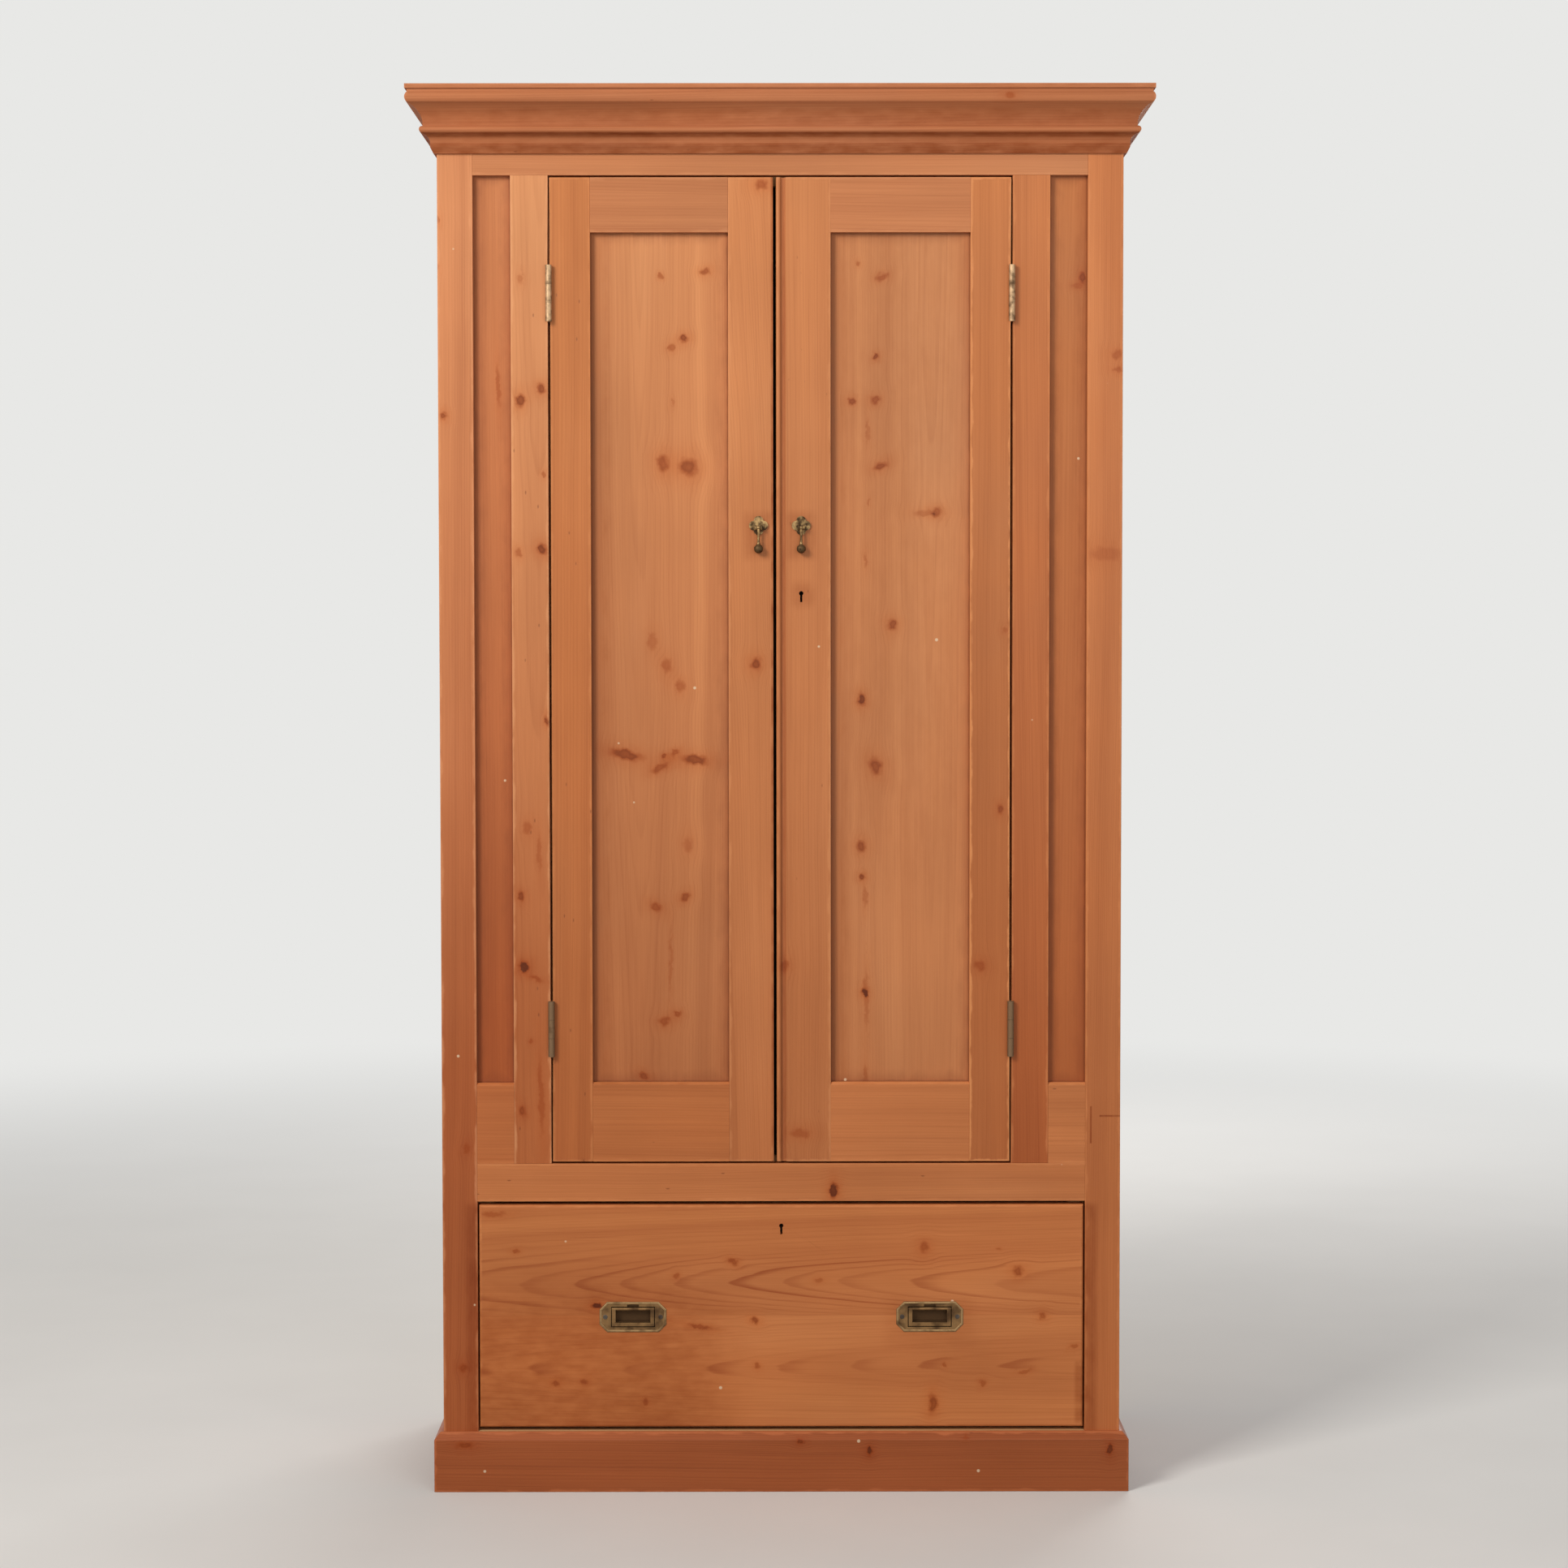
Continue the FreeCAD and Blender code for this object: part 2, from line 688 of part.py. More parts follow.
door_key_x = meeting_right + size.door_key_inset
lock_face = size.door_thickness + size.lock_wall - size.lock_clearance
door_keyhole = keyhole("door_keyhole", door_key_x, size.door_lock_height, lock_face)
beaded_width = size.door_meeting_stile_width + size.bead_width + size.quirk_width
meeting_edges = {"left": meeting_left, "right": meeting_right}
meeting_widths = {"left": size.door_meeting_stile_width, "right": beaded_width}
door_z = (door_low, door_high)
for side, sign in SIDES:
    name = side + "_door"
    hinge_edge = sign * (opening_half - size.door_side_gap)
    hinge_x = from_edge(hinge_edge, size.door_hinge_stile_width, -sign)
    meeting_x = from_edge(meeting_edges[side], meeting_widths[side], sign)
    inner_x = (hinge_x[1], meeting_x[0]) if sign < 0 else (meeting_x[1], hinge_x[0])
    top_z = (door_high - size.door_top_rail_height, door_high)
    bottom_z = (door_low, door_low + size.door_bottom_rail_height)
    door_top_rail = tenoned(name + "_top_rail", inner_x, door_y, top_z, "x")
    door_bottom_rail = tenoned(name + "_bottom_rail", inner_x, door_y, bottom_z, "x")
    panel = grooved_panel(name + "_panel", inner_x, (bottom_z[1], top_z[0]))
    hinge_stile = board(name + "_hinge_stile_board", hinge_x, door_y, door_z)
    framing = (door_top_rail, door_bottom_rail, panel)
    if side == "left":
        meeting_stile = board(name + "_meeting_stile_board", meeting_x, door_y, door_z)
        meeting_tools = framing
    else:
        meeting_stile = beaded_stile(name + "_meeting_stile_board", beaded_width, meeting_right)
        meeting_tools = (*framing, door_keyhole)
    keep(cut(name + "_hinge_stile", hinge_stile, *framing, *door_leaves[side]))
    keep(cut(name + "_meeting_stile", meeting_stile, *meeting_tools))
    keep(cut(name + "_top_rail", door_top_rail, panel))
    bevel = sill_bevel(name + "_bottom_rail_bevel", inner_x, bottom_z[1])
    keep(cut(name + "_bottom_rail", door_bottom_rail, panel, bevel))


def lobed_plate(name, x, z):
    """A four-lobed rosette lying on the door face."""
    half = size.pull_lobe_chord / 2
    corners = [(half, half), (-half, half), (-half, -half), (half, -half)]
    points = [(*corner, -size.pull_lobe_bulge) for corner in corners]
    return extrude(name, "XZ_Plane", points, size.pull_plate_thickness, (x, front, z))


def drop_pull(side, x):
    """A rosette with two ears and a pin, and the ball-ended drop that swings on it."""
    name = side + "_pull"
    pivot_y = front - size.pull_pivot_reach
    pivot_z = size.pull_height - size.pull_pivot_drop
    plate_face = front - size.pull_plate_thickness
    boss_start = (x, plate_face - size.pull_boss_height, size.pull_height)
    pieces = [
        lobed_plate(name + "_rosette", x, size.pull_height),
        rod(name + "_boss", size.pull_boss_radius, boss_start, "y", size.pull_boss_height),
    ]
    ear_inner = size.pull_ear_spacing / 2
    ear_outer = ear_inner + size.pull_ear_thickness
    for number, sign in enumerate((-1, 1)):
        ear_x = across(sign, ear_inner, ear_outer)
        ear_x = (x + ear_x[0], x + ear_x[1])
        ear_z = about(pivot_z, 2 * size.pull_ear_radius)
        pieces.append(board(f"{name}_ear_{number}", ear_x, (pivot_y, plate_face), ear_z))
        round_start = (ear_x[0], pivot_y, pivot_z)
        ear_round = (size.pull_ear_radius, round_start, "x", size.pull_ear_thickness)
        pieces.append(rod(f"{name}_ear_round_{number}", *ear_round))
    pin_start = (x - ear_outer, pivot_y, pivot_z)
    pieces.append(rod(name + "_pin", size.pull_pin_radius, pin_start, "x", 2 * ear_outer))
    keep(join(name + "_plate", *pieces))

    ball_depth = size.drop_length - size.drop_ball_radius
    neck_foot = ball_depth - size.drop_ball_radius
    turned = [(0, 0), (0, -size.drop_length)]
    for band in range(1, BALL_BANDS):
        turn = math.radians(180 * band / BALL_BANDS)
        depth = ball_depth + size.drop_ball_radius * math.cos(turn)
        turned.append((size.drop_ball_radius * math.sin(turn), -depth))
    turned += [(size.drop_neck_radius, -neck_foot), (size.drop_neck_radius, 0)]
    ball = revolve(name + "_ball", turned, (x, pivot_y, pivot_z))
    eye_start = (x - size.drop_eye_width / 2, pivot_y, pivot_z)
    eye = rod(name + "_eye", size.drop_eye_radius, eye_start, "x", size.drop_eye_width)
    bore_radius = size.pull_pin_radius + size.running_clearance
    bore = rod(name + "_eye_bore", bore_radius, eye_start, "x", size.drop_eye_width)
    keep(cut(name + "_drop", join(name + "_drop_solid", ball, eye), bore))


drop_pull("left", meeting_left - size.left_pull_inset)
drop_pull("right", meeting_right + size.right_pull_inset)

# Lock on the back of the right door: its bolt shoots behind the left door
lock_y = (door_back, door_back + size.lock_depth)
bolt_y = from_edge(door_back + size.lock_wall, size.lock_bolt_thickness, 1)
slot_y = (bolt_y[0] - size.lock_clearance, bolt_y[1] + size.lock_clearance)
case_x = from_edge(meeting_right, size.door_lock_width, 1)
case_z = about(size.door_lock_height, size.door_lock_length)
bolt_x = from_edge(meeting_right, size.door_lock_bolt_length, 1)
bolt_z = about(size.door_lock_height, size.door_lock_bolt_width)
slot_z = (bolt_z[0] - size.lock_clearance, bolt_z[1] + size.lock_clearance)
door_case = board("door_lock_case_block", case_x, lock_y, case_z)
door_slot = board("door_lock_slot", (bolt_x[0], bolt_x[1] + size.lock_clearance), slot_y, slot_z)
keep(cut("door_lock_case", door_case, door_slot, door_keyhole))
keep(board("door_lock_bolt", bolt_x, bolt_y, bolt_z))

# Bolt on the back of the left door: it rises behind the top rail
bolt_middle = meeting_left - size.door_meeting_stile_width / 2
plate_z = from_edge(door_high - size.bolt_plate_inset, size.bolt_plate_length, -1)
plate_back = door_back + size.bolt_plate_thickness
plate_x = about(bolt_middle, size.bolt_plate_width)
bolt_pieces = [board("bolt_base", plate_x, (door_back, plate_back), plate_z)]
lower_guide_z = from_edge(plate_z[0] + size.bolt_guide_inset, size.bolt_guide_height, 1)
upper_guide_z = from_edge(plate_z[1] - size.bolt_guide_inset, size.bolt_guide_height, -1)
guide_x = about(bolt_middle, size.bolt_guide_width)
for level, guide_z in (("lower", lower_guide_z), ("upper", upper_guide_z)):
    guide_y = (plate_back, plate_back + size.bolt_guide_depth)
    bolt_pieces.append(board(f"bolt_{level}_guide", guide_x, guide_y, guide_z))
bolt_axis_y = plate_back + size.bolt_reach
bolt_foot = (bolt_middle, bolt_axis_y, plate_z[0] - size.bolt_tail)
bolt_length = size.bolt_tail + size.bolt_plate_length + size.bolt_tip
bolt_bore = rod("bolt_bore", size.bolt_radius + size.running_clearance, bolt_foot, "z", bolt_length)
keep(cut("left_door_bolt_plate", join("bolt_plate_solid", *bolt_pieces), bolt_bore))
knob_z = lower_guide_z[1] + size.bolt_knob_radius + size.bolt_knob_clearance
knob = rod("bolt_knob", size.bolt_knob_radius, (bolt_middle, bolt_axis_y, knob_z), "y", size.bolt_knob_reach)
bolt_rod = rod("bolt_rod", size.bolt_radius, bolt_foot, "z", bolt_length)
keep(join("left_door_bolt", bolt_rod, knob))

# Door stop under the top rail, in two lengths that leave room for the left door's bolt
stop_y = (frame_back, frame_back + size.stop_thickness)
stop_z = from_edge(opening_high - size.stop_drop, size.stop_height, 1)
left_stop_x = (-stile_inside, bolt_middle - size.bolt_slot_half_width)
right_stop_x = (bolt_middle + size.bolt_slot_half_width, stile_inside)
left_stop = board("left_stop", left_stop_x, stop_y, stop_z)
right_stop = board("right_stop", right_stop_x, stop_y, stop_z)
keep(group("door_stops", left_stop, right_stop))

# Hanging rail between two sockets on the sides
rail_y = (frame_back + back_inside) / 2
rail_z = opening_high - size.hanging_drop
rail_half = side_inside - size.socket_floor
hanging_rail = rod("hanging_rail", size.hanging_radius, (-rail_half, rail_y, rail_z), "x", 2 * rail_half)
keep(hanging_rail)
sockets = []
for side, sign in SIDES:
    socket_x = across(sign, side_inside - size.socket_thickness, side_inside)
    collar_start = (socket_x[0], rail_y, rail_z)
    collar = rod(side + "_collar", size.socket_radius, collar_start, "x", size.socket_thickness)
    sockets.append(cut(side + "_socket", collar, hanging_rail))
keep(group("rail_sockets", *sockets))

# Drawer runners with guides, and kickers over the drawer sides
drawer_side_outside = drawer_half - size.drawer_side_inset
drawer_side_inside = drawer_side_outside - size.drawer_side_thickness
drawer_side_high = drawer_high - size.drawer_side_drop
runner_y = (frame_back + size.runner_start, back_inside)
runner_top = drawer_low - size.runner_clearance
bearing_x = drawer_side_outside - size.runner_bearing
runners = []
kickers = []
for side, sign in SIDES:
    ledge_x = across(sign, bearing_x, side_inside)
    guide_x = across(sign, drawer_side_outside + size.guide_clearance, side_inside)
    ledge = board(side + "_ledge", ledge_x, runner_y, (runner_top - size.runner_height, runner_top))
    guide = board(side + "_guide", guide_x, runner_y, (runner_top, runner_top + size.guide_height))
    runners.append(join(side + "_runner", ledge, guide))
    kicker_z = from_edge(drawer_side_high + size.kicker_clearance, size.kicker_height, 1)
    kickers.append(board(side + "_kicker", ledge_x, runner_y, kicker_z))
keep(group("drawer_runners", *runners))
keep(group("drawer_kickers", *kickers))

# Drawer box: the sides carry dovetails into the front and the back
drawer_back_y = (front + size.drawer_depth - size.drawer_back_thickness, front + size.drawer_depth)
bottom_low = drawer_low + size.drawer_bottom_rise
bottom_high = bottom_low + size.drawer_bottom_thickness
bottom_half = drawer_side_inside + size.drawer_groove_depth
bottom_y = (frame_back - size.drawer_groove_depth, drawer_back_y[1])
bottom_z = (bottom_low, bottom_high)
drawer_bottom = keep(board("drawer_bottom", (-bottom_half, bottom_half), bottom_y, bottom_z))


def tail_points(root, tip, height):
    """Corners of the dovetails on one end of a drawer side, from its low edge up."""
    pitch = height / DRAWER_TAILS
    points = []
    for number in range(DRAWER_TAILS):
        middle = (number + 0.5) * pitch
        wide = pitch * size.tail_share / 2
        narrow = wide - size.tail_flare
        points.append((root, middle - narrow))
        points.append((tip, middle - wide))
        points.append((tip, middle + wide))
        points.append((root, middle + narrow))
    return points


side_height = drawer_side_high - drawer_low
front_root = size.frame_thickness
back_root = size.drawer_depth - size.drawer_back_thickness
front_tails = tail_points(front_root, size.drawer_lap, side_height)
back_tails = tail_points(back_root, size.drawer_depth, side_height)
side_outline = [
    (front_root, 0),
    *front_tails,
    (front_root, side_height),
    (back_root, side_height),
    *reversed(back_tails),
    (back_root, 0),
]
drawer_sides = []
for side, sign in SIDES:
    side_x = across(sign, drawer_side_inside, drawer_side_outside)
    name = f"drawer_{side}_side"
    corner = (side_x[0], front, drawer_low)
    tailed = extrude(name + "_board", "YZ_Plane", side_outline, size.drawer_side_thickness, corner)
    keep(cut(name, tailed, drawer_bottom))
    drawer_sides.append(tailed)
back_x = (-drawer_side_outside, drawer_side_outside)
drawer_back_board = board("drawer_back_board", back_x, drawer_back_y, (bottom_high, drawer_side_high))
keep(cut("drawer_back", drawer_back_board, *drawer_sides))


def flush_handle(side, x):
    """A clipped-corner plate with a finger cup behind it, and the bail that lies in it."""
    name = side + "_flush"
    z = size.handle_height
    half_plate_width = size.handle_plate_width / 2
    half_plate_height = size.handle_plate_height / 2
    face = front - size.handle_proud
    clipped_x = half_plate_width - size.handle_plate_clip
    clipped_z = half_plate_height - size.handle_plate_clip
    octagon = [
        (half_plate_width, -clipped_z),
        (half_plate_width, clipped_z),
        (clipped_x, half_plate_height),
        (-clipped_x, half_plate_height),
        (-half_plate_width, clipped_z),
        (-half_plate_width, -clipped_z),
        (-clipped_x, -half_plate_height),
        (clipped_x, -half_plate_height),
    ]
    thickness = size.handle_plate_thickness
    plate = extrude(name + "_octagon", "XZ_Plane", octagon, thickness, (x, face, z), reverse=True)

    bail_x = about(x, size.bail_width)
    bail_z = about(z, size.bail_height)
    bail_y = from_edge(face + size.bail_sink, size.bail_thickness, 1)
    inner_x = (bail_x[0] + size.bail_bar, bail_x[1] - size.bail_bar)
    bar_radius = size.bail_thickness / 2
    axis_y = bail_y[0] + bar_radius
    axis_z = bail_z[1] - bar_radius

    recess_x = (bail_x[0] - size.bail_clearance, bail_x[1] + size.bail_clearance)
    recess_z = (bail_z[0] - size.bail_clearance, bail_z[1] + size.bail_clearance)
    recess_back = bail_y[1] + size.bail_clearance
    cup_back = face + size.finger_cup_depth
    cup_x = (inner_x[0] + size.finger_cup_margin, inner_x[1] - size.finger_cup_margin)
    inner_z = (bail_z[0] + size.bail_bar, bail_z[1] - size.bail_thickness)
    cup_z = (inner_z[0] + size.finger_cup_margin, inner_z[1] - size.finger_cup_margin)
    block_x = (recess_x[0] - size.handle_wall, recess_x[1] + size.handle_wall)
    block_z = (recess_z[0] - size.handle_wall, recess_z[1] + size.handle_wall)
    block = board(name + "_cup_block", block_x, (face, cup_back + size.handle_wall), block_z)
    blank = join(name + "_blank", plate, block)

    notch_z = from_edge(recess_z[1], size.thumb_notch_height, 1)
    notch_y = (face, face + size.thumb_notch_depth)
    pivot_start = (bail_x[0] - size.bail_pivot_length, axis_y, axis_z)
    pivot_length = size.bail_width + 2 * size.bail_pivot_length
    pivot_bore = size.bail_pivot_radius + size.running_clearance
    hollows = (
        board(name + "_recess", recess_x, (face, recess_back), recess_z),
        board(name + "_cup", cup_x, (face, cup_back), cup_z),
        board(name + "_notch", about(x, size.thumb_notch_width), notch_y, notch_z),
        rod(name + "_pivot_bore", pivot_bore, pivot_start, "x", pivot_length),
    )
    keep(cut(name + "_plate", blank, *hollows))

    bars = (
        board(name + "_left_bar", (bail_x[0], inner_x[0]), bail_y, (bail_z[0], axis_z)),
        board(name + "_right_bar", (inner_x[1], bail_x[1]), bail_y, (bail_z[0], axis_z)),
        board(name + "_low_bar", bail_x, bail_y, (bail_z[0], bail_z[0] + size.bail_bar)),
        rod(name + "_top_bar", bar_radius, (bail_x[0], axis_y, axis_z), "x", size.bail_width),
        rod(name + "_pivots", size.bail_pivot_radius, pivot_start, "x", pivot_length),
    )
    keep(join(side + "_bail", *bars))
    return blank


handle_blanks = [flush_handle(side, sign * size.handle_spread) for side, sign in SIDES]

# Drawer front: rounded on its face, cut for the dovetails, bottom, handles and key
front_outline = [
    (-drawer_half, 0),
    (drawer_half, 0),
    (drawer_half, size.drawer_height),
    (-drawer_half, size.drawer_height),
]
front_corner = (0, front, drawer_low)
front_shape = ("XZ_Plane", front_outline, size.frame_thickness, front_corner)
drawer_board = extrude("drawer_front_board", *front_shape, reverse=True)
doc.recompute()
drawer_pad = drawer_board.Tip
board_faces = drawer_pad.Shape.Faces
face_number = min(range(len(board_faces)), key=lambda index: board_faces[index].CenterOfMass.y)
rounding = drawer_board.newObject("PartDesign::Fillet", "drawer_front_rounding")
rounding.Base = (drawer_pad, [f"Face{face_number + 1}"])
bind(rounding, "Radius", size.drawer_front_rounding)
drawer_key_z = drawer_high - size.drawer_key_inset
drawer_key_depth = size.frame_thickness + size.lock_wall - size.lock_clearance
drawer_keyhole = keyhole("drawer_keyhole", MIDDLE, drawer_key_z, drawer_key_depth)
front_tools = (*drawer_sides, drawer_bottom, *handle_blanks, drawer_keyhole)
keep(cut("drawer_front", drawer_board, *front_tools))

# Lock on the back of the drawer front: its bolt rises behind the middle rail
lock_y = (frame_back, frame_back + size.lock_depth)
bolt_y = from_edge(frame_back + size.lock_wall, size.lock_bolt_thickness, 1)
slot_y = (bolt_y[0] - size.lock_clearance, bolt_y[1] + size.lock_clearance)
case_x = about(MIDDLE, size.drawer_lock_width)
case_z = from_edge(drawer_high, size.drawer_lock_length, -1)
bolt_x = about(MIDDLE, size.drawer_lock_bolt_width)
bolt_z = from_edge(drawer_high, size.drawer_lock_bolt_length, -1)
slot_x = (bolt_x[0] - size.lock_clearance, bolt_x[1] + size.lock_clearance)
drawer_case = board("drawer_lock_case_block", case_x, lock_y, case_z)
drawer_slot = board("drawer_lock_slot", slot_x, slot_y, (bolt_z[0] - size.lock_clearance, bolt_z[1]))
keep(cut("drawer_lock_case", drawer_case, drawer_slot, drawer_keyhole))
keep(board("drawer_lock_bolt", bolt_x, bolt_y, bolt_z))

doc.recompute()
for item in doc.Objects:
    if {"Invalid", "Error"} & set(item.State):
        raise RuntimeError(f"{item.Label} failed: {item.State}")
for piece in subparts:
    if piece.Shape.isNull() or not piece.Shape.isValid() or not piece.Shape.Solids:
        raise RuntimeError(f"{piece.Label} has no sound solid")

os.makedirs("parts", exist_ok=True)
for piece in subparts:
    piece.Shape.exportStep(os.path.join("parts", piece.Label + ".step"))
print(f"{len(subparts)} sub-parts written")
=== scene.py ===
"""Looks of a stripped and waxed pine wardrobe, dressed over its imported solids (metres)."""

import math
import random

import bmesh
import bpy
from mathutils import Euler, Matrix, Vector


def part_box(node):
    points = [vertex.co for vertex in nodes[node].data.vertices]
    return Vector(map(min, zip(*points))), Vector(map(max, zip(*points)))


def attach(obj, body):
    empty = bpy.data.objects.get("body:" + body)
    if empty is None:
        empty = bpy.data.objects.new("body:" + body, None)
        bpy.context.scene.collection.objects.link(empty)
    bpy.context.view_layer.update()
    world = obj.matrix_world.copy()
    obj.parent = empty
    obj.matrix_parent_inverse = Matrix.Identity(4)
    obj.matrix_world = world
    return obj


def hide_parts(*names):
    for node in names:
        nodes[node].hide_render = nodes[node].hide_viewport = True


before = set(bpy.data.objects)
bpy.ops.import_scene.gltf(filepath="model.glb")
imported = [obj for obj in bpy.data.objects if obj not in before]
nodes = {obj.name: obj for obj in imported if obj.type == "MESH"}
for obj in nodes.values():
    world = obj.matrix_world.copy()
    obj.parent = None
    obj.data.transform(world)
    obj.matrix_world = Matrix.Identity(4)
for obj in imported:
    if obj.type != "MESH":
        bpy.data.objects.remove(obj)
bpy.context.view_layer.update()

MM = 0.001
NOISE_MEAN = 0.5


# Node helpers

def srgb(red, green, blue):
    """A linear colour from its 0-255 display values."""
    def linear(value):
        value = value / 255.0
        return value / 12.92 if value <= 0.04045 else ((value + 0.055) / 1.055) ** 2.4
    return (linear(red), linear(green), linear(blue), 1.0)


class Graph:
    """Writes the nodes of one tree as calls that return their output socket."""

    def __init__(self, tree):
        self.tree = tree

    def feed(self, socket, value):
        """Links a socket to an output, or sets it to a constant."""
        if isinstance(value, bpy.types.NodeSocket):
            self.tree.links.new(value, socket)
        else:
            socket.default_value = value

    def node(self, kind, inputs=None, **settings):
        """A new node with its settings made and its inputs fed."""
        made = self.tree.nodes.new("ShaderNode" + kind)
        for name, value in settings.items():
            setattr(made, name, value)
        for key, value in (inputs or {}).items():
            self.feed(made.inputs[key], value)
        return made

    def math(self, operation, *values, clamp=False):
        made = self.node("Math", dict(enumerate(values)), operation=operation, use_clamp=clamp)
        return made.outputs[0]

    def times(self, first, second, clamp=False):
        return self.math("MULTIPLY", first, second, clamp=clamp)

    def vary(self, noise, amount, base=0.0):
        """The base, moved by a noise's swing about its mean."""
        return self.math("MULTIPLY_ADD", self.math("SUBTRACT", noise, NOISE_MEAN), amount, base)

    def vector(self, operation, first, second=None):
        inputs = {0: first}
        if operation == "SCALE":
            inputs["Scale"] = second
        elif second is not None:
            inputs[1] = second
        made = self.node("VectorMath", inputs, operation=operation)
        return made.outputs["Value" if operation in ("LENGTH", "DOT_PRODUCT") else "Vector"]

    def split(self, vector):
        return self.node("SeparateXYZ", {0: vector}).outputs

    def join(self, x, y, z):
        return self.node("CombineXYZ", {0: x, 1: y, 2: z}).outputs[0]

    def fade(self, value, start, end, low=0.0, high=1.0):
        """Smooth step of value from start (low) to end (high)."""
        made = self.node("MapRange", {0: value, 1: start, 2: end, 3: low, 4: high},
                         interpolation_type="SMOOTHSTEP")
        return made.outputs[0]

    def noise(self, vector, scale=1.0, detail=2.0, rough=0.5, colour=False):
        made = self.node("TexNoise", {"Vector": vector, "Scale": scale, "Detail": detail,
                                      "Roughness": rough})
        return made.outputs["Color" if colour else "Fac"]

    def swing(self, vector, scale, detail):
        """A noise vector about zero."""
        drawn = self.noise(vector, scale, detail, colour=True)
        return self.vector("SUBTRACT", drawn, (NOISE_MEAN, NOISE_MEAN, NOISE_MEAN))

    def mix(self, factor, first, second):
        made = self.node("Mix", {0: factor, 6: first, 7: second}, data_type="RGBA")
        return made.outputs[2]

    def tint(self, factor, colour, shade):
        """The colour, multiplied by a shade as far as the factor says."""
        return self.mix(factor, colour, self.vector("MULTIPLY", colour, shade))


def new_group(name, inputs, outputs):
    """An empty node group; returns its graph and the sockets at its entry and its exit."""
    tree = bpy.data.node_groups.new(name, "ShaderNodeTree")
    for in_out, sockets in (("INPUT", inputs), ("OUTPUT", outputs)):
        for label, kind in sockets.items():
            tree.interface.new_socket(name=label, in_out=in_out, socket_type="NodeSocket" + kind)
    entry = tree.nodes.new("NodeGroupInput")
    result = tree.nodes.new("NodeGroupOutput")
    return Graph(tree), entry.outputs, result.inputs


def new_material(name):
    """A new material, its graph and its surface shader."""
    material = bpy.data.materials.new(name)
    material.use_nodes = True
    g = Graph(material.node_tree)
    return material, g, g.tree.nodes["Principled BSDF"]


def finish_surface(g, shader, colour, rough, height, bump):
    """Feeds colour, roughness and a bump of (strength, depth) to a surface shader."""
    strength, distance = bump
    raised = g.node("Bump", {"Strength": strength, "Distance": distance, "Height": height})
    g.feed(shader.inputs["Base Color"], colour)
    g.feed(shader.inputs["Roughness"], rough)
    g.feed(shader.inputs["Normal"], raised.outputs[0])


# Wood: rings round a tilted pith, bowed by knots

# Noise drawn out along the grain: waves per metre across it and along it, and detail
STREAKS = {
    "wander": (4.2, 0.9, 2.0),
    "wiggle": (70.0, 5.0, 2.0),
    "fibre": (620.0, 9.0, 2.0),
    "broad": (6.0, 1.3, 2.0),
    # Streaks of painted sheen
    "sheen": (9.0, 2.4, 3.0),
    "ragged": (85.0, 34.0, 3.0),
}
SEED_STEP = (17.31, 9.17, 5.73)
CLOUD_SCALE, CLOUD_DETAIL = 5.0, 3.0

# Growth rings: the pith's drift, and how far a ring wiggles and its width changes
PITH_DRIFT, RING_WIGGLE, RING_UNEVEN = 0.026, 0.0022, 0.010
SEASON_SCALE, SEASON_DETAIL = 42.0, 1.0
BAND_SCALE, BAND_DRIFT = 55.0, 0.5
# Late wood: its width, and where in a ring it may start, peaks and begins to end
LATE_WIDTH, LATE_SOONEST, LATE_PEAK, LATE_END = 0.0020, 0.25, 0.90, 0.92
FAINT_RING = 0.25
SPREAD_OUTER, SPREAD_INNER = 1.4, 0.7

# Tone between early and late wood, and the level of both
BASE_TONE, BAND_SWING, FIBRE_SWING = 0.25, 0.80, 0.36
BROAD_SWING, CLOUD_SWING = 0.34, 0.22
# White, and the tint of the painted shade that darkens the wood towards the foot
WHITE, FOOT_SHADE_TINT = (1.0, 1.0, 1.0, 1.0), (0.66, 0.44, 0.31, 1.0)
# Painted sheen: the pale, cool tint of its streaks and how strong they get
SHEEN_TINT, SHEEN_RANGE = (1.10, 1.21, 1.36), (0.46, 0.76, 0.0, 0.55)

# Knots: distances are in radii from the centre
KNOT_EDGE, KNOT_HEART = (1.30, 0.45), (0.1, 0.7, 0.88, 1.0)
KNOT_BOW, KNOT_GLOW, KNOT_PUSH = -0.16, -0.30, 0.8
RIPPLE_SCALE, RIPPLE_DETAIL, KNOT_RIPPLE = 110.0, 3.0, 0.011
HALO_SHADE, HALO_SHARE = (0.86, 0.60, 0.38), 0.75
KNOT_BROWN, BROWN_SHARE = srgb(148, 62, 14), 1.05
KNOT_BLACK, BLACK_RANGE = srgb(84, 33, 6), (0.50, 0.95, 0.0, 0.85)

# Bands along an edge: how ragged they are, and how far in they begin and are full
RUBBED_BAND, RUBBED = (0.010, 0.004, 0.0), (1.15, 1.24, 1.38)
SOILED_BAND, SOIL = (0.020, 0.020, -0.002), srgb(110, 54, 28)
GRIME_BAND, GRIME, GRIME_SHARE = (0.004, 0.0030, 0.0008), srgb(88, 41, 22), 1.2
# Stains and patches of painted shade: their tint, and how ragged and strong they are
STAIN_AND_SHADE_TINT, PATCH_SWING, PATCH_LEVEL = (0.60, 0.42, 0.27), 1.6, 0.95

# Spots: cells per metre, the channel that picks a cell, and the rim and core of a spot
FLECKS, OLD_PAINT, FLECK_SHARE = (48.0, 0, 0.13, 0.08), srgb(228, 202, 168), 0.75
DENTS, DENT_BROWN, DENT_SHARE = (95.0, 1, 0.14, 0.04), srgb(104, 52, 28), 0.5
DENT_STRETCH, DENTED_CELLS = (1.0, 1.0, 0.4), 0.05

